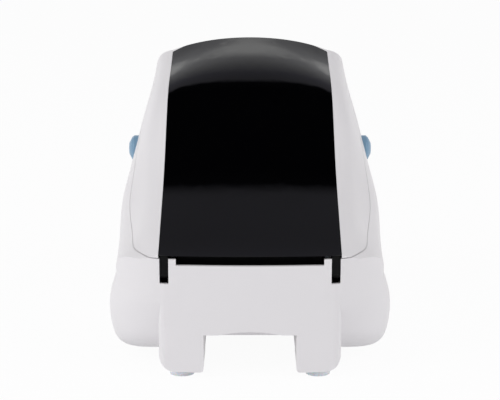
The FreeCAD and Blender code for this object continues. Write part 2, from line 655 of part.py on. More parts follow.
knuckles = []
lid_cuts = [window_hole]
for side, sign in (("left", "-"), ("right", "")):
    start = "-knuckle_outer_half" if sign else "lug_inner_half + lug_width + 0.5"
    knuckles.append(bar("knuckle_" + side, "knuckle_radius", (start, "hinge_back", "hinge_z"),
                        "knuckle_outer_half - lug_inner_half - lug_width - 0.5"))
    gap_start = "-lug_inner_half - lug_width - 0.5" if sign else "lug_inner_half - 0.5"
    lid_cuts.append(bar("lug_gap_" + side, "hinge_roll + 3", (gap_start, "hinge_back", "hinge_z"),
                        "lug_width + 1"))
lid_cuts.append(bar("rod_bore", "hinge_rod_radius + hinge_fit",
                    ("-hinge_rod_half", "hinge_back", "hinge_z"), "hinge_rod_half * 2"))
lid_frame = finish(combine("Cut", "lid_frame", combine("MultiFuse", "lid_filled", lid_shell, *knuckles),
                           combine("MultiFuse", "lid_holes", *lid_cuts)), "lid_frame")
hinge_rod = finish(bar("hinge_rod", "hinge_rod_radius", ("-hinge_rod_half", "hinge_back", "hinge_z"),
                       "hinge_rod_half * 2"), "hinge_rod")


def side_plate(name, corners, level, thickness):
    """Flat plate with a side view outline of straight lines, starting at one X level."""
    plate = new_body(name)
    drawing = sketch(plate, name + "_outline", "YZ", level)
    polygon(drawing, corners)
    extrude(plate, drawing, "Pad", thickness)
    return plate


# Lid liner: black inner frame that holds the window and carries the platen in two ears

liner_shell = combine("Cut", "liner_shell", upper_body("liner_outer", value("wall + liner_gap")),
                      upper_body("liner_inner", value("wall + liner_wall + liner_gap")))
liner_ring = combine("Common", "liner_ring", liner_shell, lid_limit)
ear_outline = [
    ("ear_front", "window_nose_z - 0.3"), ("ear_front + 3.7", "window_nose_z - 0.3"), ("8", "window_nose_z"),
    ("34", "hood_edge_z - 1.8"), ("34", "platen_z + 4"), ("28", "ear_bottom_z"), ("3", "ear_bottom_z"),
    ("ear_front", "ear_bottom_z + 2.5"),
]
liner_parts = [liner_ring]
liner_cuts = [
    box("liner_opening", ("-liner_opening_half", "38", "seam_front_z"),
        ("liner_opening_half", "178", "seam_rear_z + 90")),
    box("liner_rear", ("-side_half", "184", "seam_front_z"), ("side_half", "body_depth", "seam_rear_z + 90")),
    box("liner_slot", ("-post_half", "-10", "lip_z"), ("post_half", "12", "window_nose_z")),
]
for side, sign in (("left", "-"), ("right", "")):
    ear_start = "-post_half - 0.3 - ear_thickness" if sign else "post_half + 0.3"
    liner_parts.append(side_plate("ear_" + side, ear_outline, ear_start, "ear_thickness"))
    strike_low, strike_high = ("-strike_half - strike_thickness",
                               "-strike_half") if sign else ("strike_half",
                                                             "strike_half + strike_thickness")
    liner_parts.append(box("strike_" + side, (strike_low, "button_back - 5", "strike_bottom_z"),
                           (strike_high, "button_back + 5", "seam_rear_z + 1")))
    liner_cuts.append(bar("bush_hole_" + side, "bush_radius", (ear_start, "platen_back", "platen_z"),
                          "ear_thickness"))
liner_cuts.append(bar("gear_room", "gear_module * platen_teeth / 2 + gear_module + gear_clearance",
                      ("gear_start - gear_clearance", "platen_back", "platen_z"),
                      "gear_width + gear_clearance * 2"))
lid_liner = finish(combine("Cut", "lid_liner", combine("MultiFuse", "liner_filled", *liner_parts),
                           combine("MultiFuse", "liner_holes", *liner_cuts)), "lid_liner")


def group(label, pieces):
    """Several like pieces kept as separate solids under one name."""
    bundle = doc.addObject("Part::Compound", label)
    bundle.Links = pieces
    return finish(bundle, label)


def sleeve(name, outer, inner, start, length, axis="x"):
    """Round bar with a hole through it."""
    return combine("Cut", name, bar(name + "_outside", outer, start, length, axis),
                   bar(name + "_inside", inner, start, length, axis))


platen_bushes = group("platen_bushes", [
    sleeve("bush_" + side, "bush_radius", "journal_radius + running_fit",
           ("-post_half - 0.3 - ear_thickness" if side == "left" else "post_half + 0.3", "platen_back",
            "platen_z"),
           "ear_thickness")
    for side in ("left", "right")])

# Platen roller: rubber sleeve on a turned steel shaft, driven by a gear at its right end

platen_rubber = finish(sleeve("platen_rubber", "platen_radius", "platen_core",
                              ("-platen_half", "platen_back", "platen_z"), "platen_half * 2"),
                              "platen_rubber")
platen_shaft = finish(combine(
    "MultiFuse", "platen_shaft",
    bar("platen_core_bar", "platen_core", ("-post_half", "platen_back", "platen_z"), "post_half * 2"),
    bar("platen_journals", "journal_radius", ("-post_half - ear_thickness - 0.2", "platen_back", "platen_z"),
        "post_half * 2 + ear_thickness * 2 + 0.4")), "platen_shaft")


def gear_outline(teeth, phase, module):
    """Corner points of a gear around its own centre, with involute flanks, as (across, up) pairs."""
    pitch = teeth * module / 2
    pressure = math.radians(25)
    base = pitch * math.cos(pressure)
    tip = pitch + 0.85 * module
    root = pitch - 1.2 * module

    def roll(radius):
        turn = math.acos(min(1, base / radius))
        return math.tan(turn) - turn

    half_tooth = (math.pi * module / 2 - value("backlash")) / (2 * pitch)
    foot = max(root, base)
    flank = [foot + (tip - foot) * share for share in (0, 0.4, 0.75, 1)]
    side = [(radius, half_tooth + roll(pitch) - roll(radius)) for radius in flank]
    points = []
    for tooth in range(teeth):
        middle = phase + tooth * 2 * math.pi / teeth
        outline = [(root, -side[0][1])] + [(r, -a) for r, a in side]
        outline += [(r, a) for r, a in reversed(side)] + [(root, side[0][1])]
        for radius, angle in outline:
            point = (radius * math.cos(middle + angle), radius * math.sin(middle + angle))
            if not points or math.dist(point, points[-1]) > 1e-6:
                points.append(point)
    return points


def plate_from(name, corners, along_axis, thickness):
    """Flat piece extruded from a closed ring of points."""
    outline = doc.addObject("Part::Feature", name + "_outline")
    outline.Shape = Part.makePolygon(corners + corners[:1])
    plate = doc.addObject("Part::Extrusion", name)
    plate.Base = outline
    plate.Dir = along_axis
    plate.setExpression("LengthFwd", bound(thickness))
    plate.Solid = True
    return plate


def spur_gear(label, teeth, phase, back, z, bore):
    """Gear of the feed train, standing on an axis that runs across the printer."""
    ring = gear_outline(round(value(teeth)), phase, value("gear_module"))
    corners = [FreeCAD.Vector(value("gear_start"), back + across, z + up) for across, up in ring]
    blank = plate_from(label + "_blank", corners, (1, 0, 0), "gear_width")
    hole = bar(label + "_bore", bore, ("gear_start", str(back), str(z)), "gear_width")
    return finish(combine("Cut", label, blank, hole), label)


platen_centre = (value("platen_back"), value("platen_z"))
first_angle = math.radians(value("idler_angle"))
second_angle = math.radians(value("pinion_angle"))
first_reach = value("platen_teeth * gear_module / 2 + idler_teeth * gear_module / 2")
second_reach = value("idler_teeth * gear_module / 2 + pinion_teeth * gear_module / 2")
idler_centre = (platen_centre[0] + first_reach * math.cos(first_angle),
                platen_centre[1] + first_reach * math.sin(first_angle))
motor_centre = (idler_centre[0] + second_reach * math.cos(second_angle),
                idler_centre[1] + second_reach * math.sin(second_angle))
idler_step = 2 * math.pi / value("idler_teeth")
idler_phase = first_angle + math.pi + idler_step / 2
past_tooth = (second_angle - idler_phase) % idler_step
pinion_phase = (second_angle + math.pi + past_tooth * value("idler_teeth / pinion_teeth")
                + math.pi / value("pinion_teeth"))
platen_gear = spur_gear("platen_gear", "platen_teeth", first_angle, *platen_centre, "platen_core")
idler_gear = spur_gear("idler_gear", "idler_teeth", idler_phase, *idler_centre,
                       "idler_post_radius + running_fit")
motor_pinion = spur_gear("motor_pinion", "pinion_teeth", pinion_phase, *motor_centre, "motor_shaft_radius")

# Print chassis: bent steel frame that carries the head, the motor and the gears

idler_back, idler_z = ("%.6f" % number for number in idler_centre)
motor_back, motor_z = ("%.6f" % number for number in motor_centre)
chassis = new_body("chassis")
drawing = sketch(chassis, "chassis_side", "YZ")
polygon(drawing, [("10", "34"), ("26", "chassis_web_z"), ("chassis_rear", "chassis_web_z"),
                  ("chassis_rear", "50"),
                  ("chassis_rear - 8", "chassis_top_z"), ("12", "chassis_top_z"),
                  ("10", "chassis_top_z - 2")])
extrude(chassis, drawing, "Pad", "chassis_half * 2", both_ways=True)
drawing = sketch(chassis, "chassis_inside", "YZ")
rectangle(drawing, "0", "chassis_web_z + chassis_sheet", "chassis_rear + 10", "chassis_top_z + 10")
extrude(chassis, drawing, "Pocket", "chassis_half * 2 - chassis_sheet * 2", both_ways=True)
drawing = sketch(chassis, "chassis_pivots", "YZ", "-chassis_half - 1")
circle(drawing, "head_pivot_back", "head_pivot_z", "head_pivot_radius")
extrude(chassis, drawing, "Pocket", "chassis_half * 2 + 2", flip=True)
drawing = sketch(chassis, "chassis_motor_holes", "YZ", "chassis_half + 1")
circle(drawing, motor_back, motor_z, "motor_boss_radius + 0.2")
circle(drawing, idler_back, idler_z, "idler_post_radius")
for reach in ("- motor_ear_reach", "+ motor_ear_reach"):
    circle(drawing, motor_back + " " + reach, motor_z, "screw_radius")
extrude(chassis, drawing, "Pocket", "chassis_sheet + 2")
drawing = sketch(chassis, "chassis_web_holes", "XY", "chassis_web_z + 5")
for sign in ("-", ""):
    for end in ("front", "rear"):
        circle(drawing, sign + "chassis_boss_half", "chassis_boss_" + end, "screw_radius")
extrude(chassis, drawing, "Pocket", "10")
soften(chassis, "Fillet", "2",
       lambda edge: along(edge, "x") and edge.CenterOfMass.z > 45 and edge.CenterOfMass.y > 55)
finish(chassis, "print_chassis")
finish(bar("head_pivot_shaft", "head_pivot_radius", ("-chassis_half - 0.5", "head_pivot_back",
                                                     "head_pivot_z"),
           "chassis_half * 2 + 1"), "head_pivot_shaft")
finish(bar("idler_post", "idler_post_radius", ("chassis_half - chassis_sheet", idler_back, idler_z),
           "gear_start + gear_width + 0.6 - chassis_half + chassis_sheet"), "idler_post")

# Stepper motor: round can with two mounting ears, its shaft through the right side of the chassis

motor_face = "chassis_half - chassis_sheet"
motor = new_body("motor")
drawing = sketch(motor, "motor_can", "YZ", motor_face + " - motor_length")
circle(drawing, motor_back, motor_z, "motor_radius")
extrude(motor, drawing, "Pad", "motor_length")
drawing = sketch(motor, "motor_ears", "YZ", motor_face + " - 1")
rectangle(drawing, motor_back + " - motor_ear_reach - 3", motor_z + " - 3.2",
          motor_back + " + motor_ear_reach + 3",
          motor_z + " + 3.2")
extrude(motor, drawing, "Pad", "1")
drawing = sketch(motor, "motor_boss", "YZ", motor_face)
circle(drawing, motor_back, motor_z, "motor_boss_radius")
extrude(motor, drawing, "Pad", "chassis_sheet")
drawing = sketch(motor, "motor_holes", "YZ", motor_face + " + chassis_sheet + 1")
circle(drawing, motor_back, motor_z, "motor_shaft_radius + running_fit")
extrude(motor, drawing, "Pocket", "motor_length - 2")
drawing = sketch(motor, "motor_ear_holes", "YZ", motor_face + " + 1")
for reach in ("- motor_ear_reach", "+ motor_ear_reach"):
    circle(drawing, motor_back + " " + reach, motor_z, "screw_radius")
extrude(motor, drawing, "Pocket", "3")
soften(motor, "Fillet", "1.2", lambda edge: edge.Curve.TypeId == "Part::GeomCircle"
       and abs(edge.Curve.Radius - value("motor_radius")) < 0.01
       and edge.CenterOfMass.x < value(motor_face) - value("motor_length") + 0.1)
finish(motor, "stepper_motor")
finish(bar("motor_shaft", "motor_shaft_radius", (motor_face + " - motor_length + 6", motor_back, motor_z),
           "gear_start + gear_width + 0.4 - chassis_half + chassis_sheet + motor_length - 6"), "motor_shaft")

# Print head: ceramic strip on an aluminium heatsink that tilts about the pivot shaft below the platen

tilt = math.radians(value("head_tilt"))
nip = (value("platen_back") - value("platen_radius") * math.sin(tilt),
       value("platen_z") - value("platen_radius") * math.cos(tilt))


def on_head(ahead, above):
    """Side view point given by its distance ahead of the nip and above the line of the head."""
    return (nip[0] - ahead * math.cos(tilt) + above * math.sin(tilt),
            nip[1] + ahead * math.sin(tilt) + above * math.cos(tilt))


def head_slab(name, rear, front, bottom, top, half):
    """Flat slab lying along the head, given in the head's own directions."""
    corners = [on_head(a, b) for a, b in ((rear, bottom), (front, bottom), (front, top), (rear, top))]
    return side_prism(name, straight(*corners, corners[0]), half)


finish(head_slab("head_ceramic", -8, 5, -value("head_gap") - 1, -value("head_gap"), "head_half"),
       "head_ceramic")
fins = [head_slab("heatsink_plate", -18, 5.5, -value("head_gap") - 4.2, -value("head_gap") - 1, "head_half"),
        bar("heatsink_pivot", "head_pivot_radius + 1.9", ("-head_half", "head_pivot_back", "head_pivot_z"),
            "head_half * 2")]
fins += [head_slab("heatsink_fin_%d" % i, start, start + 1.6, -value("head_gap") - 7.5,
                   -value("head_gap") - 4, "head_half")
         for i, start in enumerate((-6, -2.4, 1.2))]
finish(combine("Cut", "head_heatsink", combine("MultiFuse", "heatsink_body", *fins),
               bar("heatsink_bore", "head_pivot_radius + running_fit",
                   ("-head_half", "head_pivot_back", "head_pivot_z"),
                   "head_half * 2")), "head_heatsink")
finish(head_slab("head_connector", -12.4, -7.4, -value("head_gap") - 8.2, -value("head_gap") - 4.2, "12"),
       "head_connector")
contact = on_head(-0.4, -value("head_gap") - 7.7)
spring_foot = value("chassis_web_z + chassis_sheet")
finish(side_prism("head_spring", straight(
    (52, spring_foot), (52, spring_foot + 0.6), (29, spring_foot + 0.6), (contact[0] + 0.4, contact[1] - 0.3),
    (contact[0] - 0.4, contact[1]), (28.2, spring_foot), (52, spring_foot)), "7"), "head_spring")

# Media path pieces between the roll and the head, and the tear bar behind the lip

finish(side_plate("guide_plate", [("36.5", "51"), ("chassis_rear - 2", "60.5"),
                                  ("chassis_rear - 2", "62.3"), ("36.5", "52.8")],
                  "-chassis_half + chassis_sheet", "chassis_half * 2 - chassis_sheet * 2"), "media_guide")
finish(side_plate("sensor_block", [("46", "50"), ("54", "50"), ("54", "56.5"), ("46", "53.9")], "-6", "12"),
       "media_sensor")
tear_outline = [
    ("tear_bar_back", "tear_bar_low_z"), ("tear_bar_back + tear_bar_sheet", "tear_bar_low_z"),
    ("tear_bar_back + tear_bar_sheet", "lip_z - 1.4"), ("tear_bar_back", "lip_z - 0.2"),
]
finish(side_plate("tear_strip", tear_outline, "-slot_half + 0.3", "slot_half * 2 - 0.6"), "tear_bar")
finish(box("lid_switch", ("-chassis_half - 6", "40", "40"), ("-chassis_half", "53", "47")), "lid_switch")

# Media bay: black tray that holds the roll, with slots for the roll holders and a post for their pinion

bay = new_body("bay")
drawing = sketch(bay, "bay_side", "YZ")
polygon(drawing, [("bay_front", "bay_floor_z"), ("bay_rear", "bay_floor_z"), ("bay_rear", "bay_top_z"),
                  ("bay_brow", "bay_top_z"), ("bay_front", "bay_front_z")])
extrude(bay, drawing, "Pad", "bay_half * 2", both_ways=True)
drawing = sketch(bay, "bay_rim", "YZ")
polygon(drawing, [("bay_front", "bay_front_z - 2.5"), ("bay_brow + 1", "bay_top_z - 2"),
                  ("bay_rear", "bay_top_z - 2"),
                  ("bay_rear", "bay_top_z"), ("bay_brow", "bay_top_z"), ("bay_front", "bay_front_z")])
extrude(bay, drawing, "Pad", "bay_rim_half * 2", both_ways=True)
drawing = sketch(bay, "bay_inside", "YZ")
rectangle(drawing, "bay_front + 2", "bay_floor_z + 2", "bay_rear - 2", "bay_top_z + 20")
extrude(bay, drawing, "Pocket", "bay_half * 2 - 4", both_ways=True)
drawing = sketch(bay, "bay_feet", "XY", "bay_floor_z")
for sign in ("-", ""):
    for end in ("front", "rear"):
        near, far = ("-bay_boss_half - 4", "-bay_half + 1") if sign else ("bay_half - 1", "bay_boss_half + 4")
        rectangle(drawing, near, "bay_boss_%s - 4" % end, far, "bay_boss_%s + 4" % end)
extrude(bay, drawing, "Pad", "2.5")
drawing = sketch(bay, "bay_post", "XY", "bay_floor_z - 6")
circle(drawing, "0", "pinion_back", "guide_post_radius")
extrude(bay, drawing, "Pad", "7")
drawing = sketch(bay, "bay_slots", "XY", "bay_floor_z + 10")
rectangle(drawing, "-holder_half - 3.8", "pinion_back - rack_back - 0.3",
          "-holder_half + holder_travel + 1.4", "pinion_back - rack_back + 4.3")
rectangle(drawing, "holder_half - holder_travel - 1.4", "pinion_back + rack_back - 4.3",
          "holder_half + 3.8", "pinion_back + rack_back + 0.3")
extrude(bay, drawing, "Pocket", "12")
drawing = sketch(bay, "bay_button_room", "XY", "bay_top_z + 10")
for sign in ("-", ""):
    near, far = ("-bay_rim_half - 2", "-bay_half") if sign else ("bay_half", "bay_rim_half + 2")
    rectangle(drawing, near, "button_back - 13", far, "button_back + 13")
extrude(bay, drawing, "Pocket", "30")
finish(bay, "media_bay")

# Roll holders: two uprights on racks, so that both slide by the same amount towards the middle

def rack_outline(side):
    """Plan outline of a holder's rack, with straight sided teeth facing the guide pinion."""
    module = 1.0
    pitch = math.pi * module
    lean = math.tan(math.radians(25))
    line = value("pinion_back") - 6 * module
    back = value("pinion_back - rack_back")
    half = pitch / 4 - value("backlash") / 2
    points = [(-value("holder_half") - 3.5, back), (10.5, back), (10.5, line - 1.2 * module)]
    for tooth in range(2, -9, -1):
        middle = (tooth + 0.5) * pitch
        root, tip = line - 1.2 * module, line + 0.85 * module
        for edge, height in ((1, root), (1, tip), (-1, tip), (-1, root)):
            points.append((middle + edge * (half - lean * (height - line)), height))
    points.append((-value("holder_half") - 3.5, line - 1.2 * module))
    if side == "left":
        return points
    return [(-x, 2 * value("pinion_back") - back_y) for x, back_y in points]


for side, sign in (("left", "-"), ("right", "")):
    def span(near, far):
        return ("-(%s)" % far, "-(%s)" % near) if sign else (near, far)

    upright = new_body("upright_" + side)
    drawing = sketch(upright, "upright_outline_" + side, "YZ", "-holder_half - 3" if sign else "holder_half")
    polygon(drawing, [("roll_back - 16", "bay_floor_z + 2.3"), ("roll_back + 16", "bay_floor_z + 2.3"),
                      ("roll_back + 16", "roll_z + 18"), ("roll_back - 16", "roll_z + 18")])
    extrude(upright, drawing, "Pad", "3")
    soften(upright, "Fillet", "12", lambda edge: along(edge, "x") and edge.CenterOfMass.z > value("roll_z"))
    foot_x = span("holder_half", "holder_half + 6.5")
    foot = box("holder_foot_" + side, (foot_x[0], "roll_back - 18", "bay_floor_z + 2.3"),
               (foot_x[1], "roll_back + 18", "bay_floor_z + 5.3"))
    neck_x = span("holder_half - 0.5", "holder_half + 3.5")
    neck_low = "pinion_back - rack_back" if sign else "pinion_back + rack_back - 4"
    neck = box("holder_neck_" + side, (neck_x[0], neck_low, "rack_z"),
               (neck_x[1], neck_low + " + 4", "bay_floor_z + 3"))
    rack = plate_from("rack_" + side, [FreeCAD.Vector(x, y, value("rack_z")) for x, y in rack_outline(side)],
                      (0, 0, 1), "rack_height")
    pin_start = "-holder_half - 1" if sign else "holder_half - hub_length + 0.5"
    pin_bar = bar("holder_pin_" + side, "hub_pin_radius", (pin_start, "roll_back", "roll_z"),
                  "hub_length + 0.5")
    finish(combine("MultiFuse", "holder_" + side, upright, foot, neck, rack, pin_bar), "roll_holder_" + side)
    hub_start = "-holder_half + 0.4" if sign else "holder_half - hub_length - 0.4"
    wide_start = "-holder_half + 0.4" if sign else "holder_half - 2.4"
    hub_body = combine("MultiFuse", "hub_body_" + side,
                       bar("hub_barrel_" + side, "hub_radius", (hub_start, "roll_back", "roll_z"),
                           "hub_length"),
                       bar("hub_flange_" + side, "hub_radius + 3", (wide_start, "roll_back", "roll_z"), "2"))
    hub_hole = bar("hub_hole_" + side, "hub_pin_radius + running_fit", (hub_start, "roll_back", "roll_z"),
                   "hub_length")
    finish(combine("Cut", "hub_" + side, hub_body, hub_hole), "roll_hub_" + side)

pinion_ring = [FreeCAD.Vector(across, value("pinion_back") + up, value("rack_z"))
               for across, up in gear_outline(12, -math.pi / 2, 1.0)]
finish(combine("Cut", "guide_pinion", plate_from("guide_pinion_blank", pinion_ring, (0, 0, 1), "rack_height"),
               bar("guide_pinion_bore", "guide_post_radius + running_fit", ("0", "pinion_back", "rack_z"),
                   "rack_height", "z")),
       "guide_pinion")

# Release buttons: blue domes that slide in the shoulders, each with a hook and a coil spring behind it

def arc_from(start, heading, end):
    """Three points of the arc that leaves the start along a heading and ends at a given point."""
    chord = end - start
    side = heading - chord * (heading.dot(chord) / chord.dot(chord))
    side.normalize()
    bulge = chord.Length / 2 * math.tan(heading.getAngle(chord) / 2)
    return start, (start + end) * 0.5 + side * bulge, end


def biarc(start, heading, end, last_heading):
    """Two arcs that join smoothly and keep the headings at both ends."""
    step = end - start
    total = heading + last_heading
    spread = 2 * (1 - heading.dot(last_heading))
    reach = (math.sqrt(step.dot(total) ** 2 + spread * step.dot(step)) - step.dot(total)) / spread
    joint = (start + end + (heading - last_heading) * reach) * 0.5
    first = arc_from(start, heading, joint)
    second = arc_from(end, last_heading * -1, joint)
    return [Part.Arc(*first).toShape(), Part.Arc(*reversed(second)).toShape()]


def coil(name, start_x, end_x, back, z, radius, wire, turns):
    """Coil spring between two X positions: one round wire swept along arcs, a pair to each quarter turn."""
    rise = (end_x - start_x) / (2 * math.pi * turns)
    angles = [math.pi / 2 * quarter for quarter in range(4 * turns + 1)]
    points = []
    headings = []
    for angle in angles:
        points.append(FreeCAD.Vector(rise * angle, radius * math.cos(angle), radius * math.sin(angle)))
        heading = FreeCAD.Vector(rise, -radius * math.sin(angle), radius * math.cos(angle))
        heading.normalize()
        headings.append(heading)
    arcs = []
    for quarter in range(4 * turns):
        arcs += biarc(points[quarter], headings[quarter], points[quarter + 1], headings[quarter + 1])
    ring = Part.Wire(Part.makeCircle(wire, points[0], headings[0]))
    spring = doc.addObject("Part::Feature", name)
    spring.Shape = Part.Wire(arcs).makePipeShell([ring], True, False)
    spring.Placement.Base = FreeCAD.Vector(start_x, back, z)
    own_place[spring.Name] = (str(back), str(z))
    track = []
    for arc in arcs:
        track += arc.discretize(9)[:-1]
    half_turn = 4 * 8
    gaps = []
    for place, point in enumerate(track):
        gaps += [point.distanceToPoint(other) - 2 * wire for other in track[place + half_turn:]]
    print("least gap of %s to itself: %.2f mm" % (name, min(gaps)))
    return spring


def mirrored(formula):
    """The same place on the other side of the middle plane."""
    return "-" + formula.replace(" - ", " + ")


for side, sign in (("left", -1), ("right", 1)):
    button = new_body("button_" + side)
    drawing = sketch(button, "button_profile_" + side, "XZ", "-button_back")
    outline = [("button_outer_half - 0.6", 0), ("button_outer_half - 0.9", "button_radius * 0.45"),
               ("button_outer_half - button_dome", "button_radius * 0.85"),
               ("button_outer_half - button_dome - 1.4", "button_radius"),
               ("button_inner_half", "button_radius"), ("button_inner_half", "button_flange"),
               ("button_inner_half - button_flange_thickness", "button_flange"),
               ("button_inner_half - button_flange_thickness", "button_stem_radius"),
               ("hook_half", "button_stem_radius"), ("hook_half", 0)]
    corners = []
    for x, rise in outline:
        height = "button_z" if rise == 0 else "button_z + " + rise
        corners.append((mirrored(x) if sign < 0 else x, height))
    polygon(drawing, corners)
    doc.recompute()
    turned = button.newObject("PartDesign::Revolution", "button_turned_" + side)
    turned.Profile = drawing
    axis_line = drawing.addGeometry(Part.LineSegment(FreeCAD.Vector(0, value("button_z"), 0),
                                                     FreeCAD.Vector(sign * 10, value("button_z"), 0)), True)
    pin(drawing, axis_line, 1, "0", "button_z")
    drawing.addConstraint(Sketcher.Constraint("Horizontal", axis_line))
    turned.ReferenceAxis = (drawing, ["Axis0"])
    turned.Angle = 360
    button.Tip = turned
    doc.recompute()
    soften(button, "Fillet", "1",
           lambda edge: edge.Curve.TypeId == "Part::GeomCircle"
           and abs(edge.Curve.Radius - value("button_radius")) < 0.01
           and abs(edge.CenterOfMass.x) > value("button_inner_half") + 1)
    plate_x = ("-hook_half - 1.6", "-hook_half") if sign < 0 else ("hook_half", "hook_half + 1.6")
    nose_x = ("-hook_half - 2.6", "-hook_half") if sign < 0 else ("hook_half", "hook_half + 2.6")
    hook = box("hook_" + side, (plate_x[0], "button_back - 5", "button_z - 7"),
               (plate_x[1], "button_back + 5", "hook_top_z"))
    nose = box("hook_nose_" + side, (nose_x[0], "button_back - 5", "hook_top_z - 2.5"),
               (nose_x[1], "button_back + 5", "hook_top_z"))
    finish(combine("MultiFuse", "release_button_" + side, button, hook, nose), "release_button_" + side)
    ends = sorted((sign * value("bay_half + 0.7"), sign * value("hook_half - 0.7")))
    finish(coil("spring_" + side, ends[0], ends[1], value("button_back"), value("button_z"), 3.2, 0.3, 2),
           "button_spring_" + side)

# Feed button and status lens on the right flank

finish(combine("MultiFuse", "feed_button_body",
               bar("feed_cap", "feed_radius", ("feed_inner_half", "feed_back", "feed_z"),
                   "side_half + 0.8 - feed_inner_half"),
               bar("feed_flange", "feed_radius + 1.5", ("feed_inner_half", "feed_back", "feed_z"), "1.5")),
               "feed_button")
finish(combine("MultiFuse", "lens_body",
               bar("lens_rod", "lens_radius", ("feed_inner_half + 0.7", "lens_back", "feed_z"),
                   "side_half - feed_inner_half - 0.7"),
               bar("lens_flange", "lens_radius + 1", ("feed_inner_half + 0.7", "lens_back", "feed_z"),
                   "1.2")), "status_lens")

# Bottom cover, feet and screws

cover = new_body("cover")
drawing = sketch(cover, "cover_outline", "XY", "cover_bottom_z")
rectangle(drawing, "-cover_half", "cover_front", "cover_half", "cover_rear")
extrude(cover, drawing, "Pad", "cover_thickness")
soften(cover, "Fillet", "10", lambda edge: along(edge, "z"))
drawing = sketch(cover, "cover_posts", "XY", "cover_bottom_z + 0.5")
for sign in ("-", ""):
    for end in ("front", "rear"):
        circle(drawing, sign + "board_post_half", "board_post_" + end, "3")
extrude(cover, drawing, "Pad", "board_bottom_z - cover_bottom_z - 0.5")
drawing = sketch(cover, "cover_vents", "XY", "0")
for slot in range(6):
    left = "%d" % (slot * 9 - 25)
    rectangle(drawing, left, "110", "%d" % (slot * 9 - 22), "150")
extrude(cover, drawing, "Pocket", "cover_bottom_z + cover_thickness + 1", flip=True)
drawing = sketch(cover, "cover_screw_holes", "XY", "0")
for sign in ("-", ""):
    for end in ("front", "rear"):
        circle(drawing, sign + "cover_screw_half", "cover_screw_" + end, "screw_radius")
extrude(cover, drawing, "Pocket", "cover_bottom_z + cover_thickness + 1", flip=True)
finish(cover, "bottom_cover")


def foot(name, x, back, top):
    """Tapered rubber foot that stands on the table."""
    pad = doc.addObject("Part::Cone", name)
    pad.setExpression("Radius1", bound("foot_radius - 0.5"))
    pad.setExpression("Radius2", bound("foot_radius"))
    pad.setExpression("Height", bound(top + " + foot_drop"))
    pad.setExpression("Placement.Base.x", bound(x))
    pad.setExpression("Placement.Base.y", bound(back))
    pad.setExpression("Placement.Base.z", bound("-foot_drop"))
    return pad


group("rubber_feet", [
    foot("foot_front_left", "-front_foot_half", "front_foot_back", "leg_bottom_z"),
    foot("foot_front_right", "front_foot_half", "front_foot_back", "leg_bottom_z"),
    foot("foot_rear_left", "-rear_foot_half", "rear_foot_back", "cover_bottom_z"),
    foot("foot_rear_right", "rear_foot_half", "rear_foot_back", "cover_bottom_z")])


def screw(name, x, back, seat, shank, upwards):
    """Pan head screw whose head sits on a face and whose shank goes down, or up, into a boss."""
    head_z = seat + " - 1.4" if upwards else seat
    shank_z = seat + " - 1" if upwards else seat + " - " + shank
    head = bar(name + "_head", "screw_head_radius", (x, back, head_z), "1.4", "z")
    rod = bar(name + "_shank", "screw_radius", (x, back, shank_z), shank + " + 1", "z")
    return combine("MultiFuse", name, head, rod)


group("cover_screws", [
    screw("cover_screw_%s_%s" % (side, end), sign + "cover_screw_half", "cover_screw_" + end,
          "cover_bottom_z", "5", True)
    for side, sign in (("left", "-"), ("right", "")) for end in ("front", "rear")])
group("chassis_screws", [
    screw("chassis_screw_%s_%s" % (side, end), sign + "chassis_boss_half", "chassis_boss_" + end,
          "chassis_web_z + chassis_sheet", "5", False)
    for side, sign in (("left", "-"), ("right", "")) for end in ("front", "rear")])

# Main board with its chips, ports and the ribbon to the head

board = new_body("board")
drawing = sketch(board, "board_outline", "XY", "board_bottom_z")
rectangle(drawing, "-board_half", "board_front", "board_half", "board_rear")
extrude(board, drawing, "Pad", "board_top_z - board_bottom_z")
soften(board, "Fillet", "3", lambda edge: along(edge, "z"))
finish(board, "main_board")
chips = [("processor", -8, 120, 14, 14, 1.6), ("memory", 14, 122, 10, 8, 1.2),
         ("driver", -40, 100, 9, 9, 1.8),
         ("regulator", 34, 150, 10, 9, 4), ("ribbon_socket", -20, 84, 22, 5, 3)]
parts = [box("board_" + n, ("%g" % (x - w / 2), "%g" % (y - d / 2), "board_top_z"),
             ("%g" % (x + w / 2), "%g" % (y + d / 2), "board_top_z + %g" % h)) for n, x, y, w, d, h in chips]
parts += [bar("board_capacitor_%d" % i, "4", ("%g" % x, "168", "board_top_z"), "5", "z")
          for i, x in enumerate((28, 40))]
group("board_chips", parts)
finish(combine("Cut", "dc_jack", box("jack_body", ("jack_x - jack_half + 0.1", "port_wall_back - 13",
                                                   "board_top_z"),
                                     ("jack_x + jack_half - 0.1", "port_wall_back + 0.6",
                                      "board_top_z + jack_height - 0.1")),
               sleeve("jack_room", "3.2", "0.9", ("jack_x", "port_wall_back - 9", "board_top_z + 5.6"),
                      "12", "y")), "dc_jack")
finish(combine("Cut", "data_port", box("data_body", ("data_x - data_half + 0.1", "port_wall_back - 15",
                                                     "board_top_z"),
                                       ("data_x + data_half - 0.1", "port_wall_back + 0.6",
                                        "board_top_z + data_height - 0.1")),
               box("data_room", ("data_x - 4.2", "port_wall_back - 8", "board_top_z + 1.6"),
                   ("data_x + 4.2", "port_wall_back + 3", "board_top_z + 9.4"))), "data_port")
ribbon_low = value("board_top_z") + 3.05
ribbon_end = on_head(-9.9, -value("head_gap") - 8.9)
ribbon_path = [(86, ribbon_low), (68.9, ribbon_low), (68.9, 27), (40, 36),
               (ribbon_end[0] + 1, ribbon_end[1] - 6), ribbon_end]
ribbon_loop = ribbon_path + inward(ribbon_path, -0.3)[::-1]
ribbon = new_body("ribbon")
drawing = sketch(ribbon, "ribbon_outline", "YZ", "-30")
polygon(drawing, [("%.4f" % back, "%.4f" % z) for back, z in ribbon_loop])
extrude(ribbon, drawing, "Pad", "20")
finish(ribbon, "head_ribbon")

# Power switch in the rear wall, with a rocker that tips about an upright pin

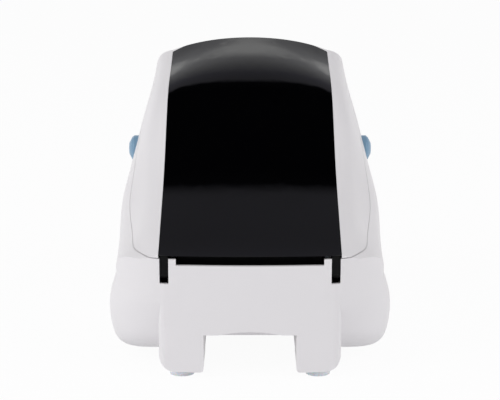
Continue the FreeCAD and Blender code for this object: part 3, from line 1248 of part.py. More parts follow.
case = combine("MultiFuse", "switch_shape",
               box("switch_body", ("switch_x - switch_half + 0.1", "port_wall_back - 14",
                                   "switch_z - switch_tall_half + 0.1"),
                   ("switch_x + switch_half - 0.1", "port_wall_back", "switch_z + switch_tall_half - 0.1")),
               box("switch_bezel", ("switch_x - switch_half - 2", "port_wall_back",
                                    "switch_z - switch_tall_half - 1.6"),
                   ("switch_x + switch_half + 2", "port_wall_back + 1.2",
                    "switch_z + switch_tall_half + 1.6")))
finish(combine("Cut", "switch_case", case,
               box("switch_room", ("switch_x - switch_half + 1.4", "port_wall_back - 8",
                                   "switch_z - switch_tall_half + 1.4"),
                   ("switch_x + switch_half - 1.4", "port_wall_back + 3",
                    "switch_z + switch_tall_half - 1.4"))), "switch_case")
lean = math.radians(value("rocker_lean"))
pivot = (value("switch_x"), value("port_wall_back") - 2)
reach = value("switch_half") - 2.2
rocker_shape = [(-reach, -2.5), (reach, -2.5), (reach, 2.2), (0, 4.2), (-reach, 2.2)]
rocker_ring = [FreeCAD.Vector(pivot[0] + x * math.cos(lean) - y * math.sin(lean),
                              pivot[1] + x * math.sin(lean) + y * math.cos(lean),
                              value("switch_z - switch_tall_half + 1.7")) for x, y in rocker_shape]
finish(plate_from("power_rocker", rocker_ring, (0, 0, 1), "switch_tall_half * 2 - 3.4"), "power_rocker")

# Every feature must be sound before the pieces are written

doc.recompute()
for item in doc.Objects:
    if "Invalid" in item.State or "Error" in item.State:
        raise RuntimeError("feature failed: " + item.Name)
    if hasattr(item, "Shape") and item.TypeId.startswith("Part") and item.Shape.isNull():
        raise RuntimeError("feature is empty: " + item.Name)
os.makedirs("parts", exist_ok=True)
for piece in finished:
    if not piece.Shape.isValid():
        raise RuntimeError("shape is not valid: " + piece.Label)
    print(piece.Label, len(piece.Shape.Solids), "solids", round(piece.Shape.Volume), "mm3")
    piece.Shape.exportStep("parts/%s.step" % piece.Label)
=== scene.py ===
import math

import bmesh
import bpy
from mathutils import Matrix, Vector


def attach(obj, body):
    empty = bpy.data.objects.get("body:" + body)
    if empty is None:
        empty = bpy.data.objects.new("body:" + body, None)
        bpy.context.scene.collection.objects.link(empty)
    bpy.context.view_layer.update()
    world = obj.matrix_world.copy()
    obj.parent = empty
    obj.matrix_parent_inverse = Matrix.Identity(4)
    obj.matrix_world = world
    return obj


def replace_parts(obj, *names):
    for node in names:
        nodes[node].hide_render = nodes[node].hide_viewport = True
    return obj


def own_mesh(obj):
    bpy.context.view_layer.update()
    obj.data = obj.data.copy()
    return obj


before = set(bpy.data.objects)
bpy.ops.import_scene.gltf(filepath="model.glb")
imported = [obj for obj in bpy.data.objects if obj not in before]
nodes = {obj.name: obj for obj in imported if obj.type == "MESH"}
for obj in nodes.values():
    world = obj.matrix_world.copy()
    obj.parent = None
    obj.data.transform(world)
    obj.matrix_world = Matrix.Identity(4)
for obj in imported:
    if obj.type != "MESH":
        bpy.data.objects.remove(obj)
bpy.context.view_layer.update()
scene = bpy.context.scene
scene.view_settings.view_transform = "Standard"


# Studio: the printer stands on a white paper sweep, seen from the front through a long lens.
# Two large diffused lamps stand to the sides, so that the smoked lid mirrors only the room: white at
# the far wall, grey above it, and dark overhead, where the ceiling comes lower at the sides.
MM = 0.001
PHOTO_WIDTH = 500
FOCAL_PIXELS = 1517
SENSOR_WIDTH = 36
CAMERA_PLACE = (0, -0.935, 0.2789)
CAMERA_PITCH = 12
ROOM_TONES = ((40, "#ffffff"), (43, "#bfbfc2"), (50, "#a6a6a9"), (60, "#81808a"), (68.5, "#7c7b82"),
              (72.5, "#161617"), (80, "#060607"))
ROOM_BEND = 0.95
ROOM_BEND_LIMIT = 0.1
ROOM_FILL = 0.5
FLOOR_HALF = 6
FLOOR_GLOW = 0.95
LAMP_SIZE = 1.3
LAMP_AIM = Vector((0, 0, 0.08))
LAMPS = (("left_softbox", (-1.75, -0.95, 1.0), 18.4), ("right_softbox", (1.75, -0.95, 1.0), 12.9))

camera_data = bpy.data.cameras.new("front_lens")
camera_data.sensor_width = SENSOR_WIDTH
camera_data.lens = FOCAL_PIXELS / PHOTO_WIDTH * SENSOR_WIDTH
camera = bpy.data.objects.new("front_camera", camera_data)
camera.location = CAMERA_PLACE
camera.rotation_euler = (math.radians(90 - CAMERA_PITCH), 0, 0)
scene.collection.objects.link(camera)
scene.camera = camera


def linear(hex_colour):
    """Linear colour of an sRGB hex value."""
    channels = [int(hex_colour[i:i + 2], 16) / 255 for i in (1, 3, 5)]
    return [c / 12.92 if c <= 0.04045 else ((c + 0.055) / 1.055) ** 2.4 for c in channels] + [1]


def add(tree, kind, inputs=(), **settings):
    """Adds a node with its settings, and with inputs that are values or links."""
    node = tree.nodes.new(kind)
    for name, setting in settings.items():
        setattr(node, name, setting)
    for socket, value in dict(inputs).items():
        if isinstance(value, bpy.types.NodeSocket):
            tree.links.new(value, node.inputs[socket])
        else:
            node.inputs[socket].default_value = value
    return node


def rays(tree):
    """Tells whether a ray comes straight from the camera, and whether it comes off or through a piece."""
    path = add(tree, "ShaderNodeLightPath").outputs
    turned = add(tree, "ShaderNodeMath", {0: path["Is Glossy Ray"], 1: path["Is Transmission Ray"]},
                 operation="MAXIMUM")
    return path["Is Camera Ray"], turned.outputs[0]


world = bpy.data.worlds.new("studio_room")
scene.world = world
world.use_nodes = True
room = world.node_tree
room.nodes.clear()
room_direction = add(room, "ShaderNodeTexCoord").outputs["Generated"]
room_axes = add(room, "ShaderNodeSeparateXYZ", {0: room_direction}).outputs
room_angle = add(room, "ShaderNodeMath", {0: room_axes["Z"], 1: room_axes["Y"]}, operation="ARCTAN2")
room_turn = add(room, "ShaderNodeMath", {0: room_angle.outputs[0], 1: math.pi}, operation="DIVIDE")
room_side = add(room, "ShaderNodeMath", {0: room_axes["X"], 1: room_axes["X"]}, operation="MULTIPLY")
room_bend = add(room, "ShaderNodeMath", {0: room_side.outputs[0], 1: ROOM_BEND_LIMIT}, operation="MINIMUM")
room_share = add(room, "ShaderNodeMath", {0: room_bend.outputs[0], 1: ROOM_BEND, 2: room_turn.outputs[0]},
                 operation="MULTIPLY_ADD")
room_walls = add(room, "ShaderNodeValToRGB", {0: room_share.outputs[0]})
room_stops = room_walls.color_ramp.elements
while len(room_stops) < len(ROOM_TONES):
    room_stops.new(1)
for stop, (elevation, grey) in zip(room_stops, ROOM_TONES):
    stop.position = elevation / 180
    stop.color = linear(grey)
room_direct, room_turned = rays(room)
room_fill = add(room, "ShaderNodeBackground", {"Color": linear("#fdfcff"), "Strength": ROOM_FILL})
room_seen = add(room, "ShaderNodeBackground", {"Color": room_walls.outputs["Color"], "Strength": 1})
room_white = add(room, "ShaderNodeBackground", {"Color": linear("#ffffff"), "Strength": 1})
room_reflected = add(room, "ShaderNodeMixShader",
                     {0: room_turned, 1: room_fill.outputs[0], 2: room_seen.outputs[0]})
room_shown = add(room, "ShaderNodeMixShader",
                 {0: room_direct, 1: room_reflected.outputs[0], 2: room_white.outputs[0]})
add(room, "ShaderNodeOutputWorld", {"Surface": room_shown.outputs[0]})

floor_mesh = bpy.data.meshes.new("paper_sweep")
floor_corners = [(x * FLOOR_HALF, y * FLOOR_HALF, 0) for x, y in ((-1, -1), (1, -1), (1, 1), (-1, 1))]
floor_mesh.from_pydata(floor_corners, [], [(0, 1, 2, 3)])
floor = bpy.data.objects.new("paper_sweep", floor_mesh)
scene.collection.objects.link(floor)
paper = bpy.data.materials.new("paper_white_matt")
paper.use_nodes = True
paper_tree = paper.node_tree
paper_tree.nodes.clear()
paper_direct, paper_turned = rays(paper_tree)
paper_seen = add(paper_tree, "ShaderNodeMath", {0: paper_direct, 1: paper_turned}, operation="MAXIMUM")
paper_share = add(paper_tree, "ShaderNodeMath", {0: paper_seen.outputs[0], 1: FLOOR_GLOW},
                  operation="MULTIPLY")
paper_lit = add(paper_tree, "ShaderNodeBsdfDiffuse", {"Color": linear("#f2f2f4")})
paper_glow = add(paper_tree, "ShaderNodeEmission", {"Color": linear("#ffffff"), "Strength": 1})
paper_mix = add(paper_tree, "ShaderNodeMixShader",
                {0: paper_share.outputs[0], 1: paper_lit.outputs[0], 2: paper_glow.outputs[0]})
add(paper_tree, "ShaderNodeOutputMaterial", {"Surface": paper_mix.outputs[0]})
floor_mesh.materials.append(paper)

for lamp_name, lamp_place, lamp_watts in LAMPS:
    lamp_data = bpy.data.lights.new(lamp_name, "AREA")
    lamp_data.size = LAMP_SIZE
    lamp_data.energy = lamp_watts
    lamp = bpy.data.objects.new(lamp_name, lamp_data)
    lamp.location = lamp_place
    lamp.rotation_euler = (LAMP_AIM - Vector(lamp_place)).to_track_quat("-Z", "Y").to_euler()
    scene.collection.objects.link(lamp)


# Lower housing: one injection moulding in ABS, white with a faint warm grey tint, that carries
# everything else. The mould is finely spark eroded, so the skin is satin, with a grain too small
# to feel and no visible flow lines.
WELD_DISTANCE = 0.005 * MM
CREASE_ANGLE = math.radians(24)
GRAIN_STRENGTH = 0.5
GRAIN_DETAIL = 2
MOTTLE_DETAIL = 3


def new_rule(name, *inputs):
    """Geometry Nodes tree with named inputs; returns it with the outputs that give them."""
    rule = bpy.data.node_groups.new(name, "GeometryNodeTree")
    for socket in ("Geometry",) + inputs:
        kind = socket if socket in ("Geometry", "Material") else "Float"
        rule.interface.new_socket(socket, in_out="INPUT", socket_type="NodeSocket" + kind)
    rule.interface.new_socket("Geometry", in_out="OUTPUT", socket_type="NodeSocketGeometry")
    return rule, add(rule, "NodeGroupInput").outputs


def fill_in(modifier, rule, values):
    """Gives a modifier its rule and sets the rule's named inputs by their identifiers."""
    modifier.node_group = rule
    for socket in rule.interface.items_tree:
        if socket.in_out == "INPUT" and socket.name in values:
            modifier[socket.identifier] = values[socket.name]


skin_rule, skin = new_rule("moulded_skin", "Weld distance", "Crease angle")
skin_plain = add(skin_rule, "GeometryNodeRemoveAttribute", {0: skin["Geometry"], "Name": "custom_normal"})
skin_weld = add(skin_rule, "GeometryNodeMergeByDistance",
                {"Geometry": skin_plain.outputs[0], "Distance": skin["Weld distance"]})
skin_faces = add(skin_rule, "GeometryNodeSetShadeSmooth", {0: skin_weld.outputs[0]}, domain="FACE")
skin_angle = add(skin_rule, "GeometryNodeInputMeshEdgeAngle").outputs["Unsigned Angle"]
skin_sharp = add(skin_rule, "FunctionNodeCompare", {0: skin_angle, 1: skin["Crease angle"]},
                 data_type="FLOAT", operation="GREATER_THAN")
skin_edges = add(skin_rule, "GeometryNodeSetShadeSmooth",
                 {0: skin_faces.outputs[0], "Selection": skin_sharp.outputs[0], "Shade Smooth": False},
                 domain="EDGE")
add(skin_rule, "NodeGroupOutput", {0: skin_edges.outputs[0]})


def dress(material, *names):
    """Gives CAD nodes a material and a welded, smoothly shaded skin."""
    for name in names:
        node = nodes[name]
        node.data.materials.clear()
        node.data.materials.append(material)
        fill_in(node.modifiers.new("moulded_skin", "NODES"), skin_rule,
                {"Weld distance": WELD_DISTANCE, "Crease angle": CREASE_ANGLE})


def surface(name, colour, roughness, **sockets):
    """Material with a principled shader; returns it with its tree, shader and object coordinates."""
    material = bpy.data.materials.new(name)
    material.use_nodes = True
    tree = material.node_tree
    tree.nodes.clear()
    inputs = {"Base Color": linear(colour), "Roughness": roughness}
    inputs.update({socket.replace("_", " "): value for socket, value in sockets.items()})
    shader = add(tree, "ShaderNodeBsdfPrincipled", inputs)
    add(tree, "ShaderNodeOutputMaterial", {"Surface": shader.outputs[0]})
    return material, tree, shader, add(tree, "ShaderNodeTexCoord").outputs["Object"]


def grain(tree, shader, place, size_mm, height_mm):
    """Fine bump with grains of one size."""
    pattern = add(tree, "ShaderNodeTexNoise",
                  {"Vector": place, "Scale": 1 / (size_mm * MM), "Detail": GRAIN_DETAIL})
    bump = add(tree, "ShaderNodeBump", {"Height": pattern.outputs["Fac"], "Distance": height_mm * MM,
                                        "Strength": GRAIN_STRENGTH})
    tree.links.new(bump.outputs[0], shader.inputs["Normal"])


def mottle(tree, shader, place, size_mm, tones, roughness):
    """Slow variation of tone and gloss over the piece."""
    pattern = add(tree, "ShaderNodeTexNoise",
                  {"Vector": place, "Scale": 1 / (size_mm * MM), "Detail": MOTTLE_DETAIL})
    tone = add(tree, "ShaderNodeMix", {0: pattern.outputs["Fac"], 6: linear(tones[0]), 7: linear(tones[1])},
               data_type="RGBA")
    tree.links.new(tone.outputs[2], shader.inputs["Base Color"])
    gloss = add(tree, "ShaderNodeMapRange", {0: pattern.outputs["Fac"], 3: roughness[0], 4: roughness[1]})
    tree.links.new(gloss.outputs[0], shader.inputs["Roughness"])


# Satin white: even tone, soft highlights along the rolled shoulders.
white_abs, tree, shader, place = surface("abs_white_spark_eroded", "#edebec", 0.42, IOR=1.53)
mottle(tree, shader, place, 30, ("#eceaeb", "#efedee"), (0.38, 0.46))
grain(tree, shader, place, 0.6, 0.02)
dress(white_abs, "lower_housing")


# Print chassis and stepper motor: the chassis is zinc plated sheet steel, folded to a tray and
# screwed to four bosses. The motor's pressed can hangs on its wall, and drawn posts and shafts carry
# the gears and the print head.
DRAWN_LINES = (30, 900, 900)
STREAK_SIZE = 1000

# Zinc plate: pale and slightly blue, cloudy where the sheet was rolled.
zinc, tree, shader, place = surface("steel_zinc_plated_sheet", "#c2c5ca", 0.34, Metallic=1.0)
mottle(tree, shader, place, 7, ("#b8bbc1", "#cccfd4"), (0.28, 0.42))
dress(zinc, "print_chassis", "stepper_motor")

# Bright steel: drawn bar, with fine lines along the length that stretch the highlights.
steel, tree, shader, place = surface("steel_bright_drawn", "#c3c4c8", 0.25, Metallic=1.0)
drawn = add(tree, "ShaderNodeVectorMath", {0: place, 1: DRAWN_LINES}, operation="MULTIPLY")
mottle(tree, shader, drawn.outputs[0], STREAK_SIZE, ("#b9babe", "#cdced2"), (0.18, 0.36))
dress(steel, "idler_post", "motor_shaft", "head_pivot_shaft")


# Screws: pan heads with a cross recess, cold formed in steel and zinc plated. Four hold the chassis
# from above; the bottom cover uses the same screw, heads down.
SCREW = {"Head radius": 2.8 * MM, "Head height": 1.4 * MM, "Shank radius": 1.5 * MM, "Shank length": 5 * MM,
         "Recess width": 0.75 * MM, "Recess length": 3.2 * MM, "Recess depth": 0.8 * MM, "Material": zinc}
SCREW_SIDES = 40
DOME_RINGS = 24
PIECE_WELD = 0.001 * MM
CHASSIS_SEATS = [(x, y, 21.6) for x in (-34, 34) for y in (-81.75, -53.75)]


def close_rule(rule, instances, material):
    """Ends a rule: its instances become real and get their material."""
    real = add(rule, "GeometryNodeRealizeInstances", {0: instances})
    painted = add(rule, "GeometryNodeSetMaterial", {0: real.outputs[0], "Material": material})
    add(rule, "NodeGroupOutput", {0: painted.outputs[0]})


screw_rule, screw = new_rule("cross_recess_screw", *SCREW, "Turn")
screw_third = add(screw_rule, "ShaderNodeMath", {0: screw["Head height"], 1: 1 / 3}, operation="MULTIPLY")
screw_half = add(screw_rule, "ShaderNodeMath", {0: screw["Head height"], 1: 1 / 2}, operation="MULTIPLY")
screw_crown = add(screw_rule, "ShaderNodeMath", {0: screw["Head height"], 1: 2 / 3}, operation="MULTIPLY")
screw_up = add(screw_rule, "ShaderNodeCombineXYZ", {2: screw_half.outputs[0]})
screw_disc = add(screw_rule, "GeometryNodeMeshCylinder",
                 {"Vertices": SCREW_SIDES, "Radius": screw["Head radius"], "Depth": screw["Head height"]})
screw_blank = add(screw_rule, "GeometryNodeTransform", {0: screw_disc.outputs[0], 1: screw_up.outputs[0]})
screw_ball = add(screw_rule, "GeometryNodeMeshUVSphere",
                 {"Segments": SCREW_SIDES, "Rings": DOME_RINGS, "Radius": 1})
screw_squash = add(screw_rule, "ShaderNodeCombineXYZ",
                   {0: screw["Head radius"], 1: screw["Head radius"], 2: screw_crown.outputs[0]})
screw_lift = add(screw_rule, "ShaderNodeCombineXYZ", {2: screw_third.outputs[0]})
screw_dome = add(screw_rule, "GeometryNodeTransform",
                 {0: screw_ball.outputs[0], 1: screw_lift.outputs[0], "Scale": screw_squash.outputs[0]})
screw_head = add(screw_rule, "GeometryNodeMeshBoolean", {1: screw_blank.outputs[0]},
                 operation="INTERSECT", solver="EXACT")
screw_rule.links.new(screw_dome.outputs[0], screw_head.inputs[1])
screw_deep = add(screw_rule, "ShaderNodeMath", {0: screw["Recess depth"], 1: 2}, operation="MULTIPLY")
screw_top = add(screw_rule, "ShaderNodeCombineXYZ", {2: screw["Head height"]})
screw_cut = screw_head
for along, across in ((0, 1), (1, 0)):
    arm_size = add(screw_rule, "ShaderNodeCombineXYZ",
                   {along: screw["Recess length"], across: screw["Recess width"], 2: screw_deep.outputs[0]})
    arm_block = add(screw_rule, "GeometryNodeMeshCube", {"Size": arm_size.outputs[0]})
    arm = add(screw_rule, "GeometryNodeTransform", {0: arm_block.outputs[0], 1: screw_top.outputs[0]})
    screw_cut = add(screw_rule, "GeometryNodeMeshBoolean", {0: screw_cut.outputs[0], 1: arm.outputs[0]},
                    operation="DIFFERENCE", solver="EXACT")
screw_drop = add(screw_rule, "ShaderNodeMath", {0: screw["Shank length"], 1: -0.5}, operation="MULTIPLY")
screw_down = add(screw_rule, "ShaderNodeCombineXYZ", {2: screw_drop.outputs[0]})
screw_bar = add(screw_rule, "GeometryNodeMeshCylinder",
                {"Vertices": SCREW_SIDES, "Radius": screw["Shank radius"], "Depth": screw["Shank length"]})
screw_shank = add(screw_rule, "GeometryNodeTransform", {0: screw_bar.outputs[0], 1: screw_down.outputs[0]})
screw_whole = add(screw_rule, "GeometryNodeJoinGeometry", {0: screw_shank.outputs[0]})
screw_rule.links.new(screw_cut.outputs[0], screw_whole.inputs[0])
screw_skin = add(screw_rule, "GeometryNodeGroup",
                 {0: screw_whole.outputs[0], "Weld distance": PIECE_WELD, "Crease angle": CREASE_ANGLE},
                 node_tree=skin_rule)
screw_turn = add(screw_rule, "ShaderNodeCombineXYZ", {0: screw["Turn"]})
screw_set = add(screw_rule, "GeometryNodeInstanceOnPoints",
                {"Points": screw["Geometry"], "Instance": screw_skin.outputs[0],
                 "Rotation": screw_turn.outputs[0]})
close_rule(screw_rule, screw_set.outputs[0], screw["Material"])


def grow(name, rule, points, edges, values, body):
    """Piece that a rule grows from seed points and edges in mm, riding on a body."""
    seed_mesh = bpy.data.meshes.new(name + "_seed")
    seed_mesh.from_pydata([Vector(point) * MM for point in points], edges, [])
    seed = bpy.data.objects.new(name + "_seed", seed_mesh)
    scene.collection.objects.link(seed)
    fill_in(seed.modifiers.new(rule.name, "NODES"), rule, values)
    grown = seed.evaluated_get(bpy.context.evaluated_depsgraph_get())
    mesh = bpy.data.meshes.new_from_object(grown)
    mesh.materials.clear()
    mesh.materials.append(values["Material"])
    for polygon in mesh.polygons:
        polygon.material_index = 0
    piece = bpy.data.objects.new(name, mesh)
    bpy.data.objects.remove(seed)
    scene.collection.objects.link(piece)
    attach(piece, body)
    return piece


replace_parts(grow("chassis_screw_set", screw_rule, CHASSIS_SEATS, [], {**SCREW, "Turn": 0}, "base"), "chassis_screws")


# Feed gears: idler and motor pinion in moulded acetal, which runs dry. The pinion is pressed on the
# motor's shaft, and the idler turns on a steel post and passes the motion to the platen's gear.

# Acetal: waxy pale grey that lets a little light in.
acetal, tree, shader, place = surface("acetal_grey_moulded", "#b6b9be", 0.38, IOR=1.48,
                                      Subsurface_Weight=0.1, Subsurface_Scale=0.002)
mottle(tree, shader, place, 15, ("#b0b3b8", "#bcbfc4"), (0.33, 0.45))
grain(tree, shader, place, 0.6, 0.01)
dress(acetal, "idler_gear", "motor_pinion")


# Print head: an extruded aluminium bar that tips on the pivot shaft and is pushed up by a leaf spring.
# The glazed ceramic strip along its upper edge carries the line of heaters and their sealed drivers;
# a black connector is behind it, and the lid switch stands beside it.
EXTRUDED_LINES = (20, 700, 700)
BEAD_SIDES = 12
BEAD_CREASE = math.radians(50)
HEATER_RADIUS = 0.3
HEATER_ENDS = [(-39.4, -92.68, 61.1), (39.4, -92.68, 61.1)]
SEAL_RADIUS = 1.2
SEAL_ENDS = [(-37, -87.67, 58.16), (37, -87.67, 58.16)]
LEAF_SIDE = ((-57.75, 21.6), (-57.75, 22.2), (-80.75, 22.2), (-95.12, 53.79), (-95.92, 54.09),
             (-81.55, 21.6))
LEAF_HALF = 7
LEAF_ROUND = 0.12 * MM

# Extruded aluminium: die lines along the bar.
aluminium, tree, shader, place = surface("aluminium_extruded", "#d0d1d4", 0.35, Metallic=1.0)
extruded = add(tree, "ShaderNodeVectorMath", {0: place, 1: EXTRUDED_LINES}, operation="MULTIPLY")
mottle(tree, shader, extruded.outputs[0], STREAK_SIZE, ("#c4c5c8", "#dadbde"), (0.28, 0.45))
dress(aluminium, "head_heatsink")

# Glazed alumina: warm white under a thin glass coat.
ceramic, tree, shader, place = surface("ceramic_white_glazed", "#e2ddd0", 0.12, IOR=1.6, Coat_Weight=0.5)
mottle(tree, shader, place, 10, ("#dfdacd", "#e5e0d3"), (0.1, 0.18))
dress(ceramic, "head_ceramic")

bead_rule, bead = new_rule("round_beads", "Radius", "Copies", "Step", "Material")
bead_path = add(bead_rule, "GeometryNodeMeshToCurve", {0: bead["Geometry"]})
bead_round = add(bead_rule, "GeometryNodeCurvePrimitiveCircle",
                 {"Resolution": BEAD_SIDES, "Radius": bead["Radius"]})
bead_bar = add(bead_rule, "GeometryNodeCurveToMesh",
               {0: bead_path.outputs[0], 1: bead_round.outputs[0], "Fill Caps": True})
bead_skin = add(bead_rule, "GeometryNodeGroup",
                {0: bead_bar.outputs[0], "Weld distance": PIECE_WELD, "Crease angle": BEAD_CREASE},
                node_tree=skin_rule)
bead_step = add(bead_rule, "ShaderNodeCombineXYZ", {0: bead["Step"]})
bead_spots = add(bead_rule, "GeometryNodeMeshLine",
                 {"Count": bead["Copies"], "Offset": bead_step.outputs[0]})
bead_set = add(bead_rule, "GeometryNodeInstanceOnPoints",
               {"Points": bead_spots.outputs[0], "Instance": bead_skin.outputs[0]})
close_rule(bead_rule, bead_set.outputs[0], bead["Material"])


def beads(name, points, edges, radius, material, body, copies=1, step=0):
    """Round beads along edges, with points, radius and step in mm, copied across the part."""
    values = {"Radius": radius * MM, "Copies": copies, "Step": step * MM, "Material": material}
    return grow(name, bead_rule, points, edges, values, body)


# Heater glaze: a brown glass line where the platen presses.
glaze, tree, shader, place = surface("glass_brown_heater", "#4a3626", 0.12, IOR=1.6)
mottle(tree, shader, place, 3, ("#443122", "#523c2a"), (0.1, 0.18))
beads("heater_line", HEATER_ENDS, [(0, 1)], HEATER_RADIUS, glaze, "print_head")

# Moulded epoxy: dull black with a fine ejector grain.
epoxy, tree, shader, place = surface("epoxy_black_moulded", "#161618", 0.5, IOR=1.55)
mottle(tree, shader, place, 3, ("#141416", "#1a1a1c"), (0.45, 0.6))
grain(tree, shader, place, 0.3, 0.015)
beads("driver_seal", SEAL_ENDS, [(0, 1)], SEAL_RADIUS, epoxy, "print_head")

# Black textured ABS: carbon filled, dull, with a coarser grain than the white skin.
black_abs, tree, shader, place = surface("abs_black_textured", "#070708", 0.6, IOR=1.53,
                                         Specular_IOR_Level=0.15)
mottle(tree, shader, place, 20, ("#050506", "#0a0a0b"), (0.55, 0.7))
grain(tree, shader, place, 0.5, 0.03)
dress(black_abs, "head_connector", "lid_switch")


def settle(name, form, material, body):
    """Piece made of a finished form, riding on a body."""
    bmesh.ops.recalc_face_normals(form, faces=form.faces)
    mesh = bpy.data.meshes.new(name)
    form.to_mesh(mesh)
    form.free()
    mesh.materials.append(material)
    piece = bpy.data.objects.new(name, mesh)
    scene.collection.objects.link(piece)
    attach(piece, body)
    return piece


# The leaf spring: a steel strip from its foot on the chassis bent up to the head, built in one fixed shape.
leaf_form = bmesh.new()
leaf_side = leaf_form.faces.new([leaf_form.verts.new(Vector((-LEAF_HALF, y, z)) * MM) for y, z in LEAF_SIDE])
leaf_drawn = bmesh.ops.extrude_face_region(leaf_form, geom=[leaf_side])["geom"]
bmesh.ops.translate(leaf_form, vec=(2 * LEAF_HALF * MM, 0, 0),
                    verts=[part for part in leaf_drawn if isinstance(part, bmesh.types.BMVert)])
bmesh.ops.bevel(leaf_form, geom=leaf_form.edges, offset=LEAF_ROUND, segments=2, affect="EDGES", profile=0.5)
leaf = settle("head_leaf", leaf_form, steel, "base")
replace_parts(leaf, "head_spring")
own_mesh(leaf)


# Label path and tear bar: the guide plate lifts the labels to the head, over the gap sensor. The tear
# bar stands behind the lip of the slot, blanked from black oxide steel with ground triangular teeth.
TEETH = {"Pitch": 1.4 * MM, "Height": 1.3 * MM, "Thickness": 0.7 * MM}
TEAR_EDGE = [(-40.6, -106.15, 64.9), (40.6, -106.15, 64.9)]

# Charcoal ABS: the same plastic with less carbon, smooth from the mould, for pieces under the lid.
charcoal_abs, tree, shader, place = surface("abs_charcoal_moulded", "#2a2a2d", 0.48, IOR=1.53)
mottle(tree, shader, place, 25, ("#27272a", "#2e2e31"), (0.42, 0.55))
grain(tree, shader, place, 0.8, 0.02)
dress(charcoal_abs, "media_guide", "media_sensor")

# Black oxide: nearly black, with a faint oily gloss.
black_oxide, tree, shader, place = surface("steel_black_oxide", "#121214", 0.42, Metallic=1.0)
mottle(tree, shader, place, 4, ("#0e0e10", "#17171a"), (0.36, 0.5))
dress(black_oxide, "tear_bar")

teeth_rule, teeth = new_rule("tear_teeth", *TEETH, "Material")
teeth_edge = add(teeth_rule, "GeometryNodeMeshToCurve", {0: teeth["Geometry"]})
teeth_spots = add(teeth_rule, "GeometryNodeResampleCurve",
                  {0: teeth_edge.outputs[0], "Length": teeth["Pitch"]}, mode="LENGTH")
tooth_foot = add(teeth_rule, "ShaderNodeMath", {0: teeth["Pitch"], 1: 0.5}, operation="MULTIPLY")
tooth_cone = add(teeth_rule, "GeometryNodeMeshCone",
                 {"Vertices": 4, "Radius Bottom": tooth_foot.outputs[0], "Radius Top": 0,
                  "Depth": teeth["Height"]})
tooth_flat = add(teeth_rule, "ShaderNodeMath", {0: teeth["Thickness"], 1: teeth["Pitch"]},
                 operation="DIVIDE")
tooth_scale = add(teeth_rule, "ShaderNodeCombineXYZ", {0: 1, 1: tooth_flat.outputs[0], 2: 1})
tooth = add(teeth_rule, "GeometryNodeTransform", {0: tooth_cone.outputs[0], "Scale": tooth_scale.outputs[0]})
teeth_set = add(teeth_rule, "GeometryNodeInstanceOnPoints",
                {"Points": teeth_spots.outputs[0], "Instance": tooth.outputs[0]})
close_rule(teeth_rule, teeth_set.outputs[0], teeth["Material"])
grow("tear_teeth", teeth_rule, TEAR_EDGE, [(0, 1)], {**TEETH, "Material": black_oxide}, "base")


# Media bay: the charcoal tray that holds the roll, moulded with round beads down its end walls and along
# its floor, so that the roll's edge slides instead of sticking.
REAR_BEAD = [(-48, 78.25, 108), (-48, 78.25, 28.4), (-48, 34, 28.4)]
FRONT_BEAD = [(-48, -37.75, 72), (-48, -37.75, 28.4), (-48, -11, 28.4)]
BAY_BEADS = 9
BAY_BEAD_STEP = 12
BAY_BEAD_RADIUS = 0.7

dress(charcoal_abs, "media_bay")
beads("bay_beads", REAR_BEAD + FRONT_BEAD, [(0, 1), (1, 2), (3, 4), (4, 5)], BAY_BEAD_RADIUS, charcoal_abs,
      "base", copies=BAY_BEADS, step=BAY_BEAD_STEP)


# Roll holders: two acetal uprights on racks, geared together so that the roll stays in the middle.
# Each carries a hub that turns with the roll, with eight round crush beads for the core.
HUB_SPANS = (("left", -35.9, -39.3), ("right", 35.9, 39.3))
HUB_RADIUS = 12
HUB_CENTRE = (11.25, 75.4)
HUB_BEADS = 8
HUB_BEAD_RADIUS = 0.45

dress(acetal, "roll_holder_left", "roll_holder_right", "roll_hub_left", "roll_hub_right", "guide_pinion")
for side, inner, outer in HUB_SPANS:
    hub_points = []
    for turn in range(HUB_BEADS):
        angle = 2 * math.pi * (turn + 0.5) / HUB_BEADS
        around = (HUB_CENTRE[0] + HUB_RADIUS * math.cos(angle), HUB_CENTRE[1] + HUB_RADIUS * math.sin(angle))
        hub_points += [(inner, *around), (outer, *around)]
    beads("hub_beads_" + side, hub_points, [(2 * turn, 2 * turn + 1) for turn in range(HUB_BEADS)],
          HUB_BEAD_RADIUS, acetal, "hub_" + side)


# Buttons: two lid releases on the shoulders, each on a coil spring, and the round feed button on the
# right flank with its status lens. Moulded ABS in a muted blue.
COIL_SPANS = (("left", -57.9, -54.7, -54.4), ("right", 54.7, 57.9, 54.4))
COIL_RADIUS = 3.2
COIL_CENTRE = (20.25, 109.8)
COIL_TURNS = 2
COIL_STEPS = 32
WIRE_RADIUS = 0.3

# Satin blue: greyed, with a soft sheen on the crown of each dome.
blue_abs, tree, shader, place = surface("abs_blue_satin", "#7fa3be", 0.35, IOR=1.53)
mottle(tree, shader, place, 12, ("#7b9fba", "#83a7c2"), (0.3, 0.4))
grain(tree, shader, place, 0.5, 0.01)
dress(blue_abs, "release_button_left", "release_button_right", "feed_button")

for side, first, last, wall in COIL_SPANS:
    coil_points = []
    for step in range(COIL_TURNS * COIL_STEPS + 1):
        angle = 2 * math.pi * step / COIL_STEPS
        coil_points.append((first + (last - first) * step / (COIL_TURNS * COIL_STEPS),
                            COIL_CENTRE[0] + COIL_RADIUS * math.cos(angle),
                            COIL_CENTRE[1] + COIL_RADIUS * math.sin(angle)))
    coil = beads("button_coil_" + side, coil_points,
                 [(step, step + 1) for step in range(COIL_TURNS * COIL_STEPS)],
                 WIRE_RADIUS, steel, "base")
    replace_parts(coil, "button_spring_" + side)
    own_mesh(coil)
